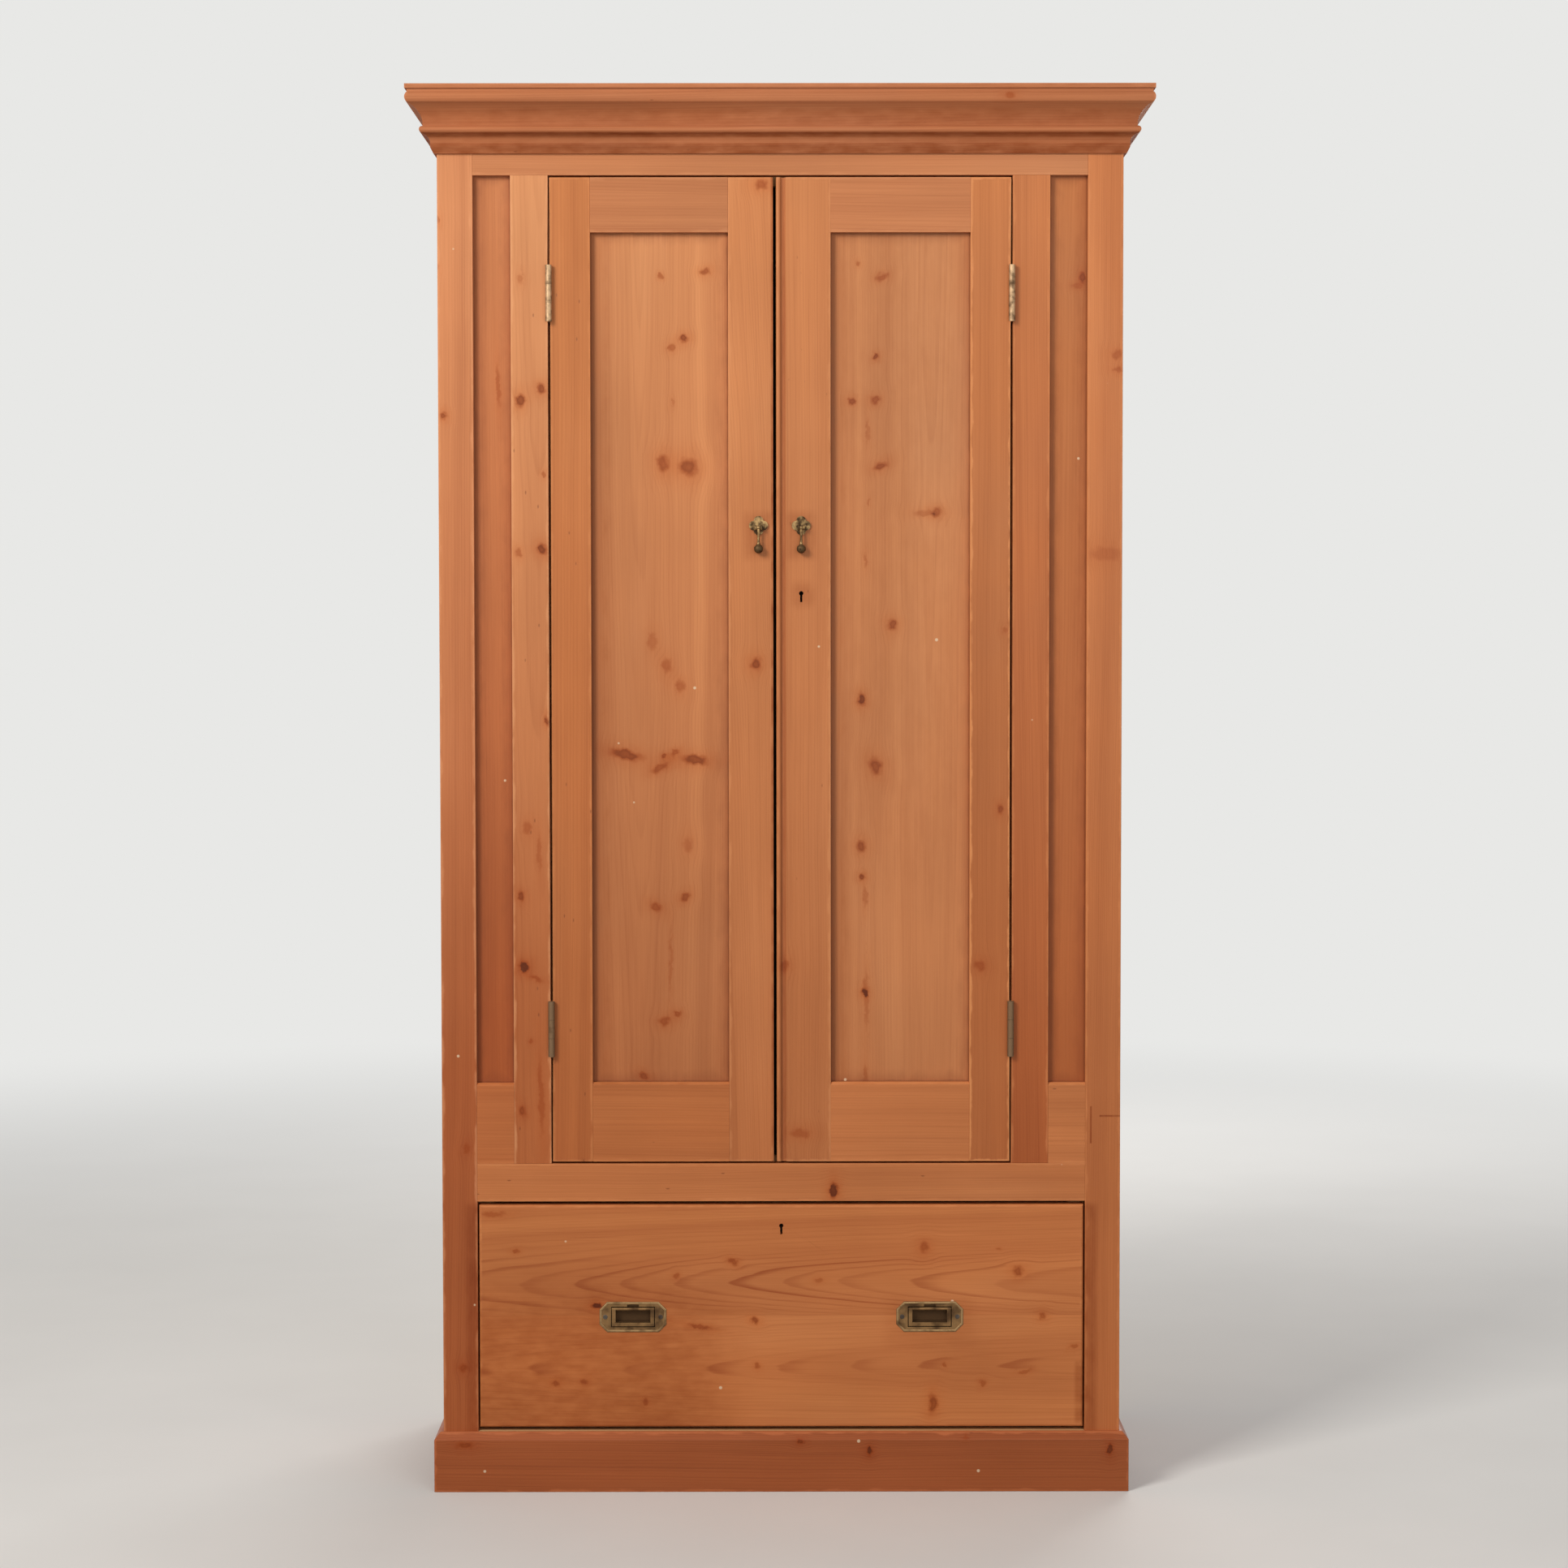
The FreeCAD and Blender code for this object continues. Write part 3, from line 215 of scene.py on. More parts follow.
# What each thing adds to the roughness and to the height of the surface
LATE_ROUGH, CLOUD_ROUGH, SOIL_ROUGH, FLECK_ROUGH = 0.10, 0.25, 0.25, 0.25
FIBRE_RISE, FLECK_RISE, DENT_RISE = 0.4, 0.5, -1.2
WOOD_BUMP, WOOD_SPECULAR = (0.35, 0.0005), 0.22


def make_knot_group():
    """Adds one knot to a running sum: x its dark core, y its push on the grain, z its halo."""
    g, given, result = new_group(
        "pine_knot",
        {"Sum": "Vector", "Face": "Vector", "Centre": "Vector", "Wide": "Vector",
         "Long": "Vector", "Depth": "Float", "Push": "Float"},
        {"Sum": "Vector"})
    offset = g.vector("SUBTRACT", given["Face"], given["Centre"])
    distance = g.vector("LENGTH", g.join(g.vector("DOT_PRODUCT", offset, given["Wide"]),
                                         g.vector("DOT_PRODUCT", offset, given["Long"]), 0.0))
    squared = g.times(distance, distance)

    def bell(fall):
        return g.math("POWER", math.e, g.times(squared, fall))

    core = g.times(g.fade(distance, *KNOT_EDGE), g.fade(distance, *KNOT_HEART))
    dark = g.times(core, given["Depth"])
    push = g.times(g.times(g.split(offset)[0], bell(KNOT_BOW)), given["Push"])
    halo = g.times(bell(KNOT_GLOW), given["Depth"])
    g.feed(result["Sum"], g.vector("ADD", given["Sum"], g.join(dark, push, halo)))
    return g.tree


def growth_rings(g, given, push, wander, wiggle):
    """Late wood of the rings round the pith, whose line wanders, and broad bands of rings."""
    across, depth, along = g.split(given["Board"])
    pith_a, pith_d, _ = g.split(given["Pith"])
    tilt_a, tilt_d, _ = g.split(given["Tilt"])
    wander_a, wander_d, _ = g.split(wander)

    def from_pith(place, drift, pith, tilt):
        drifted = g.math("MULTIPLY_ADD", drift, PITH_DRIFT, place)
        return g.math("SUBTRACT", g.math("SUBTRACT", drifted, pith), g.times(tilt, along))

    side = from_pith(g.math("SUBTRACT", across, push), wander_a, pith_a, tilt_a)
    behind = from_pith(depth, wander_d, pith_d, tilt_d)
    radius = g.math("SQRT", g.math("ADD", g.times(side, side), g.times(behind, behind)))
    seasons = g.node("TexNoise", {"W": g.math("MULTIPLY_ADD", radius, SEASON_SCALE, given["Seed"]),
                                  "Scale": 1.0, "Detail": SEASON_DETAIL}, noise_dimensions="1D")
    uneven = g.vary(seasons.outputs[0], RING_UNEVEN, g.vary(wiggle, RING_WIGGLE))
    phase = g.math("DIVIDE", g.math("ADD", radius, uneven), given["Ring"])
    part = g.math("FRACT", phase)
    number = g.math("ADD", g.math("FLOOR", phase), given["Seed"])
    strength = g.node("TexWhiteNoise", {"W": number}, noise_dimensions="1D").outputs["Value"]
    start = g.math("SUBTRACT", 1.0, g.math("DIVIDE", LATE_WIDTH, given["Ring"]))
    late = g.times(g.fade(part, g.math("MAXIMUM", start, LATE_SOONEST), LATE_PEAK),
                   g.fade(part, 1.0, LATE_END))
    late = g.times(late, g.math("MULTIPLY_ADD", strength, 1.0 - FAINT_RING, FAINT_RING))
    # The arcs stand out over the pith, and the rings are fainter towards the board's edges
    aside = g.math("DIVIDE", g.math("ABSOLUTE", side), given["Spread"])
    late = g.times(late, g.fade(aside, SPREAD_OUTER, SPREAD_INNER, FAINT_RING, 1.0))
    bands = g.noise(g.join(g.times(radius, BAND_SCALE), given["Seed"], g.times(along, BAND_DRIFT)))
    return late, bands


def edge_distance(g, given):
    """How far a place on the face is from the board's nearest edge."""
    across, _, along = g.split(given["Board"])
    low, high = g.split(given["Low"]), g.split(given["High"])
    nearest = [g.math("MINIMUM", g.math("SUBTRACT", place, low[axis]),
                      g.math("SUBTRACT", high[axis], place))
               for axis, place in enumerate((across, along))]
    return g.math("MINIMUM", *nearest)


def spots(g, place, kind, share):
    """Spots in a share of the cells of a random grid."""
    scale, channel, rim, core = kind
    cells = g.node("TexVoronoi", {"Vector": place, "Scale": scale, "Randomness": 1.0})
    picked = g.math("GREATER_THAN", share, g.split(cells.outputs["Color"])[channel])
    return g.times(g.fade(cells.outputs["Distance"], rim, core), picked)


def make_pine_group():
    """Waxed pine in board space (across, depth, along)."""
    g, given, result = new_group(
        "pine",
        {"Board": "Vector", "Knots": "Vector", "Pith": "Vector", "Tilt": "Vector",
         "Ring": "Float", "Seed": "Float", "Low": "Vector", "High": "Vector",
         "Early": "Color", "Late": "Color", "Contrast": "Float", "Wear": "Float",
         "Dirt": "Float", "Specks": "Float", "Age": "Float", "Stain and shade": "Float", "Dullness": "Float",
         "Spread": "Float"},
        {"Color": "Color", "Roughness": "Float", "Height": "Float"})
    moved = g.vector("ADD", given["Board"], g.vector("SCALE", SEED_STEP, given["Seed"]))

    def drawn_out(name, kind=g.noise):
        across, along, detail = STREAKS[name]
        return kind(g.vector("MULTIPLY", moved, (across, across, along)), 1.0, detail)

    dark, push, halo = g.split(given["Knots"])
    late, bands = growth_rings(g, given, push, drawn_out("wander", g.swing), drawn_out("wiggle"))
    fibre = drawn_out("fibre")
    cloud = g.noise(moved, CLOUD_SCALE, CLOUD_DETAIL)
    tone = g.vary(bands, BAND_SWING, g.times(late, given["Contrast"]))
    tone = g.math("ADD", g.vary(fibre, FIBRE_SWING, tone), BASE_TONE, clamp=True)
    level = g.vary(cloud, CLOUD_SWING, g.vary(drawn_out("broad"), BROAD_SWING, 1.0))
    colour = g.vector("SCALE", g.mix(tone, given["Early"], given["Late"]), level)
    # Painted shade, darker towards the foot
    colour = g.vector("MULTIPLY", colour, g.mix(given["Age"], WHITE, FOOT_SHADE_TINT))

    # Painted sheen: pale hazy streaks that stand in for the wax's glossy reflection
    colour = g.tint(g.fade(drawn_out("sheen"), *SHEEN_RANGE), colour, SHEEN_TINT)

    # Knots: a reddish halo, a brown body, and near black where a knot is strong
    colour = g.tint(g.times(halo, HALO_SHARE, clamp=True), colour, HALO_SHADE)
    colour = g.mix(g.times(dark, BROWN_SHARE, clamp=True), colour, KNOT_BROWN)
    colour = g.mix(g.fade(dark, *BLACK_RANGE), colour, KNOT_BLACK)

    # Edges of the board: rubbed pale, or dirty where a panel meets its frame
    edge = edge_distance(g, given)
    ragged = drawn_out("ragged")

    def along_edge(band, strength):
        swing, begun, full = band
        return g.times(g.fade(g.vary(ragged, swing, edge), begun, full), strength)

    rubbed = along_edge(RUBBED_BAND, given["Wear"])
    soiled = along_edge(SOILED_BAND, given["Dirt"])
    grime = along_edge(GRIME_BAND, g.times(given["Dirt"], GRIME_SHARE))
    colour = g.mix(rubbed, colour, g.vector("MULTIPLY", given["Early"], RUBBED))
    colour = g.mix(soiled, colour, SOIL)
    colour = g.mix(grime, colour, GRIME)
    # Stains, and patches of painted shade where a board's list holds them
    stain_and_shade = g.times(given["Stain and shade"], g.vary(ragged, PATCH_SWING, PATCH_LEVEL), clamp=True)
    colour = g.tint(stain_and_shade, colour, STAIN_AND_SHADE_TINT)

    # Small dark dents and flecks of old pale paint
    dent = spots(g, g.vector("MULTIPLY", moved, DENT_STRETCH), DENTS, DENTED_CELLS)
    fleck = spots(g, moved, FLECKS, given["Specks"])
    colour = g.mix(g.times(dent, DENT_SHARE), colour, DENT_BROWN)
    colour = g.mix(g.times(fleck, FLECK_SHARE), colour, OLD_PAINT)
    g.feed(result["Color"], colour)

    rough = g.math("MULTIPLY_ADD", tone, LATE_ROUGH, given["Dullness"])
    rough = g.math("MULTIPLY_ADD", soiled, SOIL_ROUGH, g.vary(cloud, CLOUD_ROUGH, rough))
    rough = g.math("MULTIPLY_ADD", fleck, FLECK_ROUGH, rough, clamp=True)
    g.feed(result["Roughness"], rough)
    height = g.math("MULTIPLY_ADD", dent, DENT_RISE, g.times(fibre, FIBRE_RISE))
    g.feed(result["Height"], g.math("MULTIPLY_ADD", fleck, FLECK_RISE, height))
    return g.tree


KNOT_GROUP = make_knot_group()
PINE_GROUP = make_pine_group()

# Which of x, y, z is across, through and along a board
GRAIN = {
    "up": (0, 1, 2),
    "across": (2, 1, 0),
    "side_up": (1, 0, 2),
    "side_deep": (2, 0, 1),
    "flat": (1, 2, 0),
}
UPRIGHT = 2

# Early and late wood
TONES = {
    "frame": (srgb(212, 140, 92), srgb(164, 94, 55)),
    "pale_frame": (srgb(217, 149, 99), srgb(169, 101, 60)),
    "deep_frame": (srgb(205, 126, 73), srgb(158, 84, 43)),
    # Painted shade: the top rails are darker, as under the cornice's overhang
    "top": (srgb(196, 126, 80), srgb(150, 82, 45)),
    "door": (srgb(204, 131, 80), srgb(158, 89, 48)),
    "deep_door": (srgb(200, 124, 71), srgb(155, 84, 42)),
    "panel": (srgb(208, 139, 89), srgb(163, 94, 54)),
    "narrow": (srgb(206, 130, 81), srgb(159, 88, 50)),
    "drawer": (srgb(208, 129, 74), srgb(154, 73, 34)),
    "rail": (srgb(203, 125, 73), srgb(157, 84, 44)),
    "mid_rail": (srgb(193, 115, 64), srgb(150, 78, 38)),
    "deep_rail": (srgb(188, 109, 60), srgb(146, 73, 36)),
    "plinth": (srgb(170, 91, 50), srgb(125, 61, 30)),
    # Painted shade: the cornice is darker and redder for its downward faces
    "cornice": (srgb(191, 119, 77), srgb(145, 79, 46)),
    "side": (srgb(204, 131, 80), srgb(158, 88, 48)),
    "bare": (srgb(214, 170, 118), srgb(178, 126, 76)),
}

# Knots and dark streaks that show, per board, in mm:
# place across and along, radius, stretch along the grain, depth of colour and turn in degrees
KNOTS = {
    "left_outer_stile": [(-458, 1474, 5, 1.2, 0.7, 20), (-432, 473, 5, 1.6, 0.55, -15),
                         (-437, 169, 7, 1.0, 0.65), (-463, 1739, 3, 2.0, 0.5),
                         (-465, 1673, 3, 1.7, 0.4)],
    "left_narrow_panel": [(-384, 1515, 3, 9.5, 0.45, 2)],
    "left_hinge_stile": [(-352, 1659, 4, 2.0, 0.35), (-354, 1495, 7, 1.4, 0.75, -10),
                         (-325, 1511, 7, 1.0, 0.72), (-321, 1394, 3, 1.3, 0.5),
                         (-356, 1289, 5, 1.3, 0.5), (-325, 1293, 7, 1.2, 0.8, 20),
                         (-319, 1060, 4, 1.8, 0.75), (-346, 913, 6, 1.6, 0.45),
                         (-330, 880, 3, 8.5, 0.35), (-355, 819, 5, 1.4, 0.75, 15),
                         (-351, 723, 8, 1.0, 1.0), (-335, 707, 10, 0.3, 0.6, -20),
                         (-342, 620, 3, 1.3, 0.55), (-354, 525, 5, 1.6, 0.7, 15),
                         (-329, 545, 4, 13.0, 0.5, 2)],
    "left_door_panel": [(-102, 1670, 7, 0.7, 0.65, 5), (-162, 1663, 4, 0.9, 0.55),
                        (-131, 1579, 7, 0.8, 0.75, 25), (-149, 1567, 5, 1.1, 0.55),
                        (-147, 1493, 3, 2.0, 0.3), (-160, 1410, 9, 1.4, 0.65),
                        (-126, 1405, 14, 0.9, 0.7, -30), (-175, 1168, 7, 1.8, 0.35),
                        (-157, 1135, 7, 1.4, 0.5, 10), (-138, 1107, 7, 1.3, 0.5, 20),
                        (-211, 1013, 24, 0.35, 0.75, -12), (-159, 1011, 4, 1.0, 0.7),
                        (-144, 1015, 7, 0.6, 0.6, 45), (-165, 995, 13, 0.4, 0.65, 22),
                        (-117, 1006, 19, 0.4, 0.75, -5), (-127, 890, 7, 1.5, 0.35),
                        (-171, 805, 9, 0.7, 0.66, -30), (-132, 818, 8, 0.7, 0.7, 40),
                        (-151, 729, 2, 18.0, 0.3), (-160, 647, 8, 0.85, 0.65),
                        (-142, 656, 5, 1.0, 0.65), (-188, 572, 8, 0.65, 0.7, -30)],
    "left_door_meeting_stile": [(-25, 1785, 10, 0.7, 0.6), (-34, 1137, 8, 1.1, 0.75)],
    "right_door_panel": [(105, 1680, 4, 1.1, 0.5), (138, 1662, 8, 0.7, 0.6, 20),
                         (130, 1554, 5, 0.8, 0.75, 30), (97, 1495, 5, 1.0, 0.7),
                         (129, 1496, 7, 0.9, 0.65, 30), (119, 1455, 3, 5.5, 0.3),
                         (137, 1406, 10, 0.55, 0.7, 25), (213, 1344, 8, 0.85, 0.6),
                         (197, 1342, 15, 0.3, 0.35), (120, 1356, 2, 2.5, 0.3),
                         (116, 1279, 3, 3.0, 0.35), (153, 1190, 7, 1.2, 0.7, 10),
                         (110, 1088, 6, 1.5, 0.85), (130, 997, 9, 1.4, 0.7, 15),
                         (110, 888, 7, 1.3, 0.7), (111, 845, 5, 1.1, 0.75),
                         (115, 818, 3, 5.0, 0.35), (116, 686, 5, 1.2, 0.7),
                         (117, 679, 4, 10.0, 0.35), (115, 572, 3, 5.0, 0.4)],
    "right_door_meeting_stile": [(5, 724, 7, 1.3, 0.6), (26, 494, 15, 0.45, 0.5)],
    "right_door_hinge_stile": [(305, 1183, 4, 1.2, 0.4), (299, 938, 5, 1.4, 0.7),
                               (272, 724, 8, 1.0, 0.6)],
    "right_narrow_panel": [(410, 1661, 5, 1.6, 0.75), (403, 1650, 9, 0.4, 0.4)],
    "right_outer_stile": [(458, 1556, 9, 0.75, 0.5), (458, 1535, 8, 0.45, 0.5),
                          (442, 1286, 22, 0.45, 0.3)],
    "middle_rail": [(415, 72, 12, 0.55, 0.95)],
    "drawer_front": [(382, -395, 4, 4.0, 0.5), (331, -364, 3, 1.7, 0.6), (255, -254, 6, 1.2, 1.0),
                     (296, -144, 4, 1.2, 0.55), (316, -66, 4, 1.7, 0.65, 20),
                     (235, -37, 5, 1.4, 0.7, 25), (226, -113, 3, 5.5, 0.6, 10),
                     (336, 196, 8, 0.85, 0.6), (333, 299, 2, 1.5, 0.4), (303, 325, 7, 1.2, 0.65),
                     (291, 52, 3, 2.0, 0.45), (241, 359, 5, 1.2, 0.6), (148, -311, 4, 1.4, 0.55),
                     (150, -272, 4, 1.3, 0.55), (121, -187, 5, 0.8, 0.55), (171, -34, 4, 1.0, 0.55),
                     (174, 225, 3, 1.0, 0.5), (148, 276, 4, 1.1, 0.55),
                     (119, 208, 14, 0.45, 0.7, 5), (164, 334, 3, 3.2, 0.45, -15),
                     (198, 403, 3, 2.0, 0.5, -20)],
    "plinth_front": [(65, -434, 5, 2.4, 0.7), (69, 27, 4, 1.4, 0.8), (57, 121, 7, 0.75, 0.95),
                     (58, 451, 9, 0.5, 0.9), (75, 253, 3, 1.3, 0.5)],
    "cornice_front": [(1899, 308, 4, 2.0, 0.5)],
}

# The look of waxed wood, and what other kinds change in it. In metres: "boards" is the width of each
# board in a wide face, "inside" the depths where bare wood begins and is full, "spread" how far from
# the pith the arcs stand out, and "nails" the height of a row, how far out a column is and its pitch.
# A stain, or a patch of painted shade, is the low and high bound across and along the grain, its
# softness and its strength.
WAXED = {"contrast": 0.18, "wear": 0.45, "dirt": 0.0, "specks": 0.02, "dullness": 0.42, "foot_shade": 0.8,
         "spread": 1.0, "next_spread": None, "next_pith": None, "boards": None, "inside": None,
         "stains_and_shade": (), "nails": (), "inset": False, "flat": False, "scatter": 0}
INSET = {"contrast": 0.14, "wear": 0.12, "dirt": 0.30}
BARE = {"wear": 0.12, "specks": 0.0, "dullness": 0.72, "foot_shade": 0.0}
DULL = {"dullness": 0.72}
LYING = {"foot_shade": 0.0}

# Painted shade in the coves of the cornice, with clean lines left between the patches as painted
# highlights on the beads
COVE_SHADE = [(1.80, 1.8395, -0.6, 0.6, 0.0022, 0.82), (1.8482, 1.8525, -0.6, 0.6, 0.0016, 0.80),
             (1.80, 1.853, -0.6, 0.6, 0.003, 0.40), (1.867, 1.880, -0.6, 0.6, 0.010, 0.52)]

# Boards: grain, tone, and what sets a board apart from the rest of its kind
BOARDS = {
    "left_outer_stile": ("up", "frame", {"specks": 0.07, "foot_shade": 1.5, "stains_and_shade": [
        (-0.427, -0.4, 0.06, 0.39, 0.012, 0.6)]}),
    "right_outer_stile": ("up", "deep_frame", {"specks": 0.07, "foot_shade": 0.4, "stains_and_shade": [
        (0.4, 0.427, 0.06, 0.39, 0.012, 0.6), (0.437, 0.466, 0.5165, 0.5178, 0.0012, 0.9),
        (0.424, 0.4255, 0.48, 0.53, 0.0012, 0.8)]}),
    "left_hinge_stile": ("up", "pale_frame", {"flat": True, "foot_shade": 1.58}),
    "right_hinge_stile": ("up", "deep_frame", {"foot_shade": 1.1}),
    "top_rail": ("across", "top", {}),
    "middle_rail": ("across", "rail", {}),
    "bottom_rail": ("across", "bare", {}),
    "left_short_rail": ("across", "deep_rail", {}),
    "right_short_rail": ("across", "rail", {}),
    "left_narrow_panel": ("up", "narrow", {"inset": True, "foot_shade": 1.6}),
    "right_narrow_panel": ("up", "deep_door", {"inset": True, "foot_shade": 1.1}),
    "left_door_hinge_stile": ("up", "deep_door", {}),
    # The left meeting stile's second stain, beside the gap, is painted shade that makes the gap's
    # dark line wider and browner
    "left_door_meeting_stile": ("up", "door", {"foot_shade": 0.6, "stains_and_shade": [
        (-0.042, -0.018, 1.288, 1.335, 0.016, 0.35), (-0.0122, 0.0, 0.4, 1.8, 0.0016, 0.75)]}),
    "left_door_top_rail": ("across", "top", {}),
    "left_door_bottom_rail": ("across", "mid_rail", {}),
    # Painted shadow: the stain along the left door panel's left edge stands for the stile's cast
    # shadow
    "left_door_panel": ("up", "panel", {"inset": True, "flat": True, "foot_shade": 0.82, "stains_and_shade": [
        (-0.30, -0.241, 0.50, 1.74, 0.018, 0.36)]}),
    "right_door_hinge_stile": ("up", "deep_door", {"wear": 1.4}),
    # The right meeting stile's first stain is painted shade in the quirk beside the bead
    "right_door_meeting_stile": ("up", "door", {"foot_shade": 0.6, "stains_and_shade": [
        (0.0026, 0.0050, 0.4, 1.8, 0.0014, 0.45), (0.016, 0.040, 1.288, 1.335, 0.016, 0.35),
        (0.026, 0.034, 1.226, 1.236, 0.020, 0.40)]}),
    "right_door_top_rail": ("across", "top", {}),
    "right_door_bottom_rail": ("across", "rail", {}),
    # The right door panel's first stain darkens its upper part; its second, along the left edge, is
    # painted shadow cast by the stile
    "right_door_panel": ("up", "panel", {"inset": True, "flat": True, "foot_shade": 0.5, "stains_and_shade": [
        (0.02, 0.30, 0.95, 1.80, 0.25, 0.18), (0.02, 0.083, 0.50, 1.74, 0.018, 0.38)]}),
    "drawer_front": ("across", "drawer", {
        "inside": (-0.185, -0.178), "boards": 0.155, "pith": (0.171, -0.1555),
        "next_pith": (0.2875, -0.1455), "tilt": (0.0, -0.05), "ring": 0.0044, "contrast": 0.50,
        "spread": 0.007, "next_spread": 0.032, "stains_and_shade": [
            (0.205, 0.262, -0.265, -0.140, 0.055, 0.45), (0.212, 0.252, 0.160, 0.250, 0.03, 0.25),
            (0.095, 0.175, 0.407, 0.42, 0.006, 0.5), (0.05, 0.215, -0.5, -0.14, 0.12, 0.56)]}),
    # The plinth's strong rubbed edge is partly wear and partly a painted highlight on its top bevel
    "plinth_front": ("across", "plinth", {"specks": 0.04, "wear": 1.3, "contrast": 0.30}),
    "plinth_left_return": ("side_deep", "plinth", {}),
    "plinth_right_return": ("side_deep", "plinth", {}),
    "cornice_front": ("across", "cornice", {"specks": 0.06, "stains_and_shade": COVE_SHADE}),
    "cornice_left_return": ("side_deep", "cornice", {"stains_and_shade": COVE_SHADE}),
    "cornice_right_return": ("side_deep", "cornice", {"stains_and_shade": COVE_SHADE}),
    "left_side": ("side_up", "side", {"flat": True, "boards": 0.205, "scatter": 11,
                                      "inside": (-0.452, -0.447)}),
    "right_side": ("side_up", "side", {"flat": True, "boards": 0.205, "scatter": 9,
                                       "inside": (0.452, 0.447)}),
    "top_board": ("flat", "bare", {"flat": True, "boards": 0.205, "scatter": 6}),
    "cupboard_floor": ("flat", "bare", {"flat": True, "boards": 0.2, "scatter": 6}),
    "back_boards": ("up", "bare", {"flat": True, "boards": 0.130, "scatter": 16,
                                   "nails": (0.451, 0.450, 0.23)}),
    "door_stops": ("across", "bare", {}),
    "drawer_runners": ("side_deep", "bare", {}),
    "drawer_kickers": ("side_deep", "bare", {}),
    "drawer_left_side": ("side_deep", "bare", {"flat": True, "scatter": 3}),
    "drawer_right_side": ("side_deep", "bare", {"flat": True, "scatter": 3}),
    "drawer_back": ("across", "bare", {"flat": True, "scatter": 4}),
    "drawer_bottom": ("flat", "bare", {"flat": True, "boards": 0.13, "scatter": 5}),
    "hanging_rail": ("across", "bare", {}),
    "rail_sockets": ("side_up", "bare", {}),
}
PANEL_SEAT = 8 * MM
FIRST_SEED, SEED_SCALE, BOARD_SEED = 3, 0.37, 3.7
# Height at which the painted shade towards the foot begins
FOOT_SHADE_TOP = 1.75

# Ranges that are drawn from: a face sawn flat over the pith, and one sawn beside it
SIDE_TILT, RING_WIDTH = (-0.01, 0.01), (0.0024, 0.0044)
FLAT_ASIDE, FLAT_BEHIND, FLAT_TILT = (-0.2, 0.2), (0.03, 0.06), (0.008, 0.02)
BESIDE, BESIDE_BEHIND, BESIDE_TILT = (0.05, 0.11), (0.02, 0.08), (-0.02, 0.02)
# Radius in mm, stretch, depth and turn of a scattered knot
SCATTERED = ((4.0, 9.0), (1.1, 1.8), (0.5, 0.9), (-35.0, 35.0))

# Nails: the rust round a head, and the head
RUST, RUST_RANGE = srgb(120, 76, 46), (0.011, 0.002, 0.0, 0.45)
NAIL_HEAD, HEAD_RANGE = srgb(58, 42, 34), (0.0030, 0.0024)


def knot_sum(g, board, knots):
    """The dark cores, pushes and halos of a board's knots, added up."""
    total = (0.0, 0.0, 0.0)
    if not knots:
        return total
    ripple = g.vector("SCALE", g.swing(board, RIPPLE_SCALE, RIPPLE_DETAIL), KNOT_RIPPLE)
    across, _, along = g.split(g.vector("ADD", board, ripple))
    face = g.join(across, along, 0.0)
    for knot_a, knot_l, radius, stretch, depth, *turn in knots:
        lean = math.radians(turn[0]) if turn else 0.0
        wide = Vector((math.cos(lean), math.sin(lean), 0.0)) / (radius * MM)
        long = Vector((-math.sin(lean), math.cos(lean), 0.0)) / (radius * stretch * MM)
        made = g.node("Group", node_tree=KNOT_GROUP, inputs={
            "Sum": total, "Face": face, "Centre": (knot_a * MM, knot_l * MM, 0.0), "Wide": wide,
            "Long": long, "Depth": depth, "Push": KNOT_PUSH * min(1.0, stretch)})
        total = made.outputs["Sum"]
    return total


def stain_and_shade_at(g, across, along, stains_and_shade):
    """The strongest of a board's stains and patches of painted shade, each with soft edges."""
    strongest = 0.0
    for left, right, bottom, top, soft, strength in stains_and_shade:
        aside = g.times(g.fade(across, left - soft, left, 0.0, strength),
                        g.fade(across, right + soft, right))
        upward = g.times(g.fade(along, bottom - soft, bottom), g.fade(along, top + soft, top))
        strongest = g.math("MAXIMUM", strongest, g.times(aside, upward))
    return strongest


def nailed(g, colour, across, along, start, width, nails):
    """Rusty nail heads: two in each board at the floor's height, and a row up each edge."""
    height, edge, pitch = nails

    def repeated(value, origin, step):
        part = g.math("FRACT", g.math("DIVIDE", g.math("SUBTRACT", value, origin), step))
        return g.times(g.math("SUBTRACT", part, 0.5), step)

    in_floor = g.vector("LENGTH", g.join(repeated(across, start, width / 2),
                                         g.math("SUBTRACT", along, height), 0.0))
    up_edge = g.vector("LENGTH", g.join(g.math("SUBTRACT", g.math("ABSOLUTE", across), edge),
                                        repeated(along, 0.0, pitch), 0.0))
    distance = g.math("MINIMUM", in_floor, up_edge)
    colour = g.mix(g.fade(distance, *RUST_RANGE), colour, RUST)
    return g.mix(g.fade(distance, *HEAD_RANGE), colour, NAIL_HEAD)


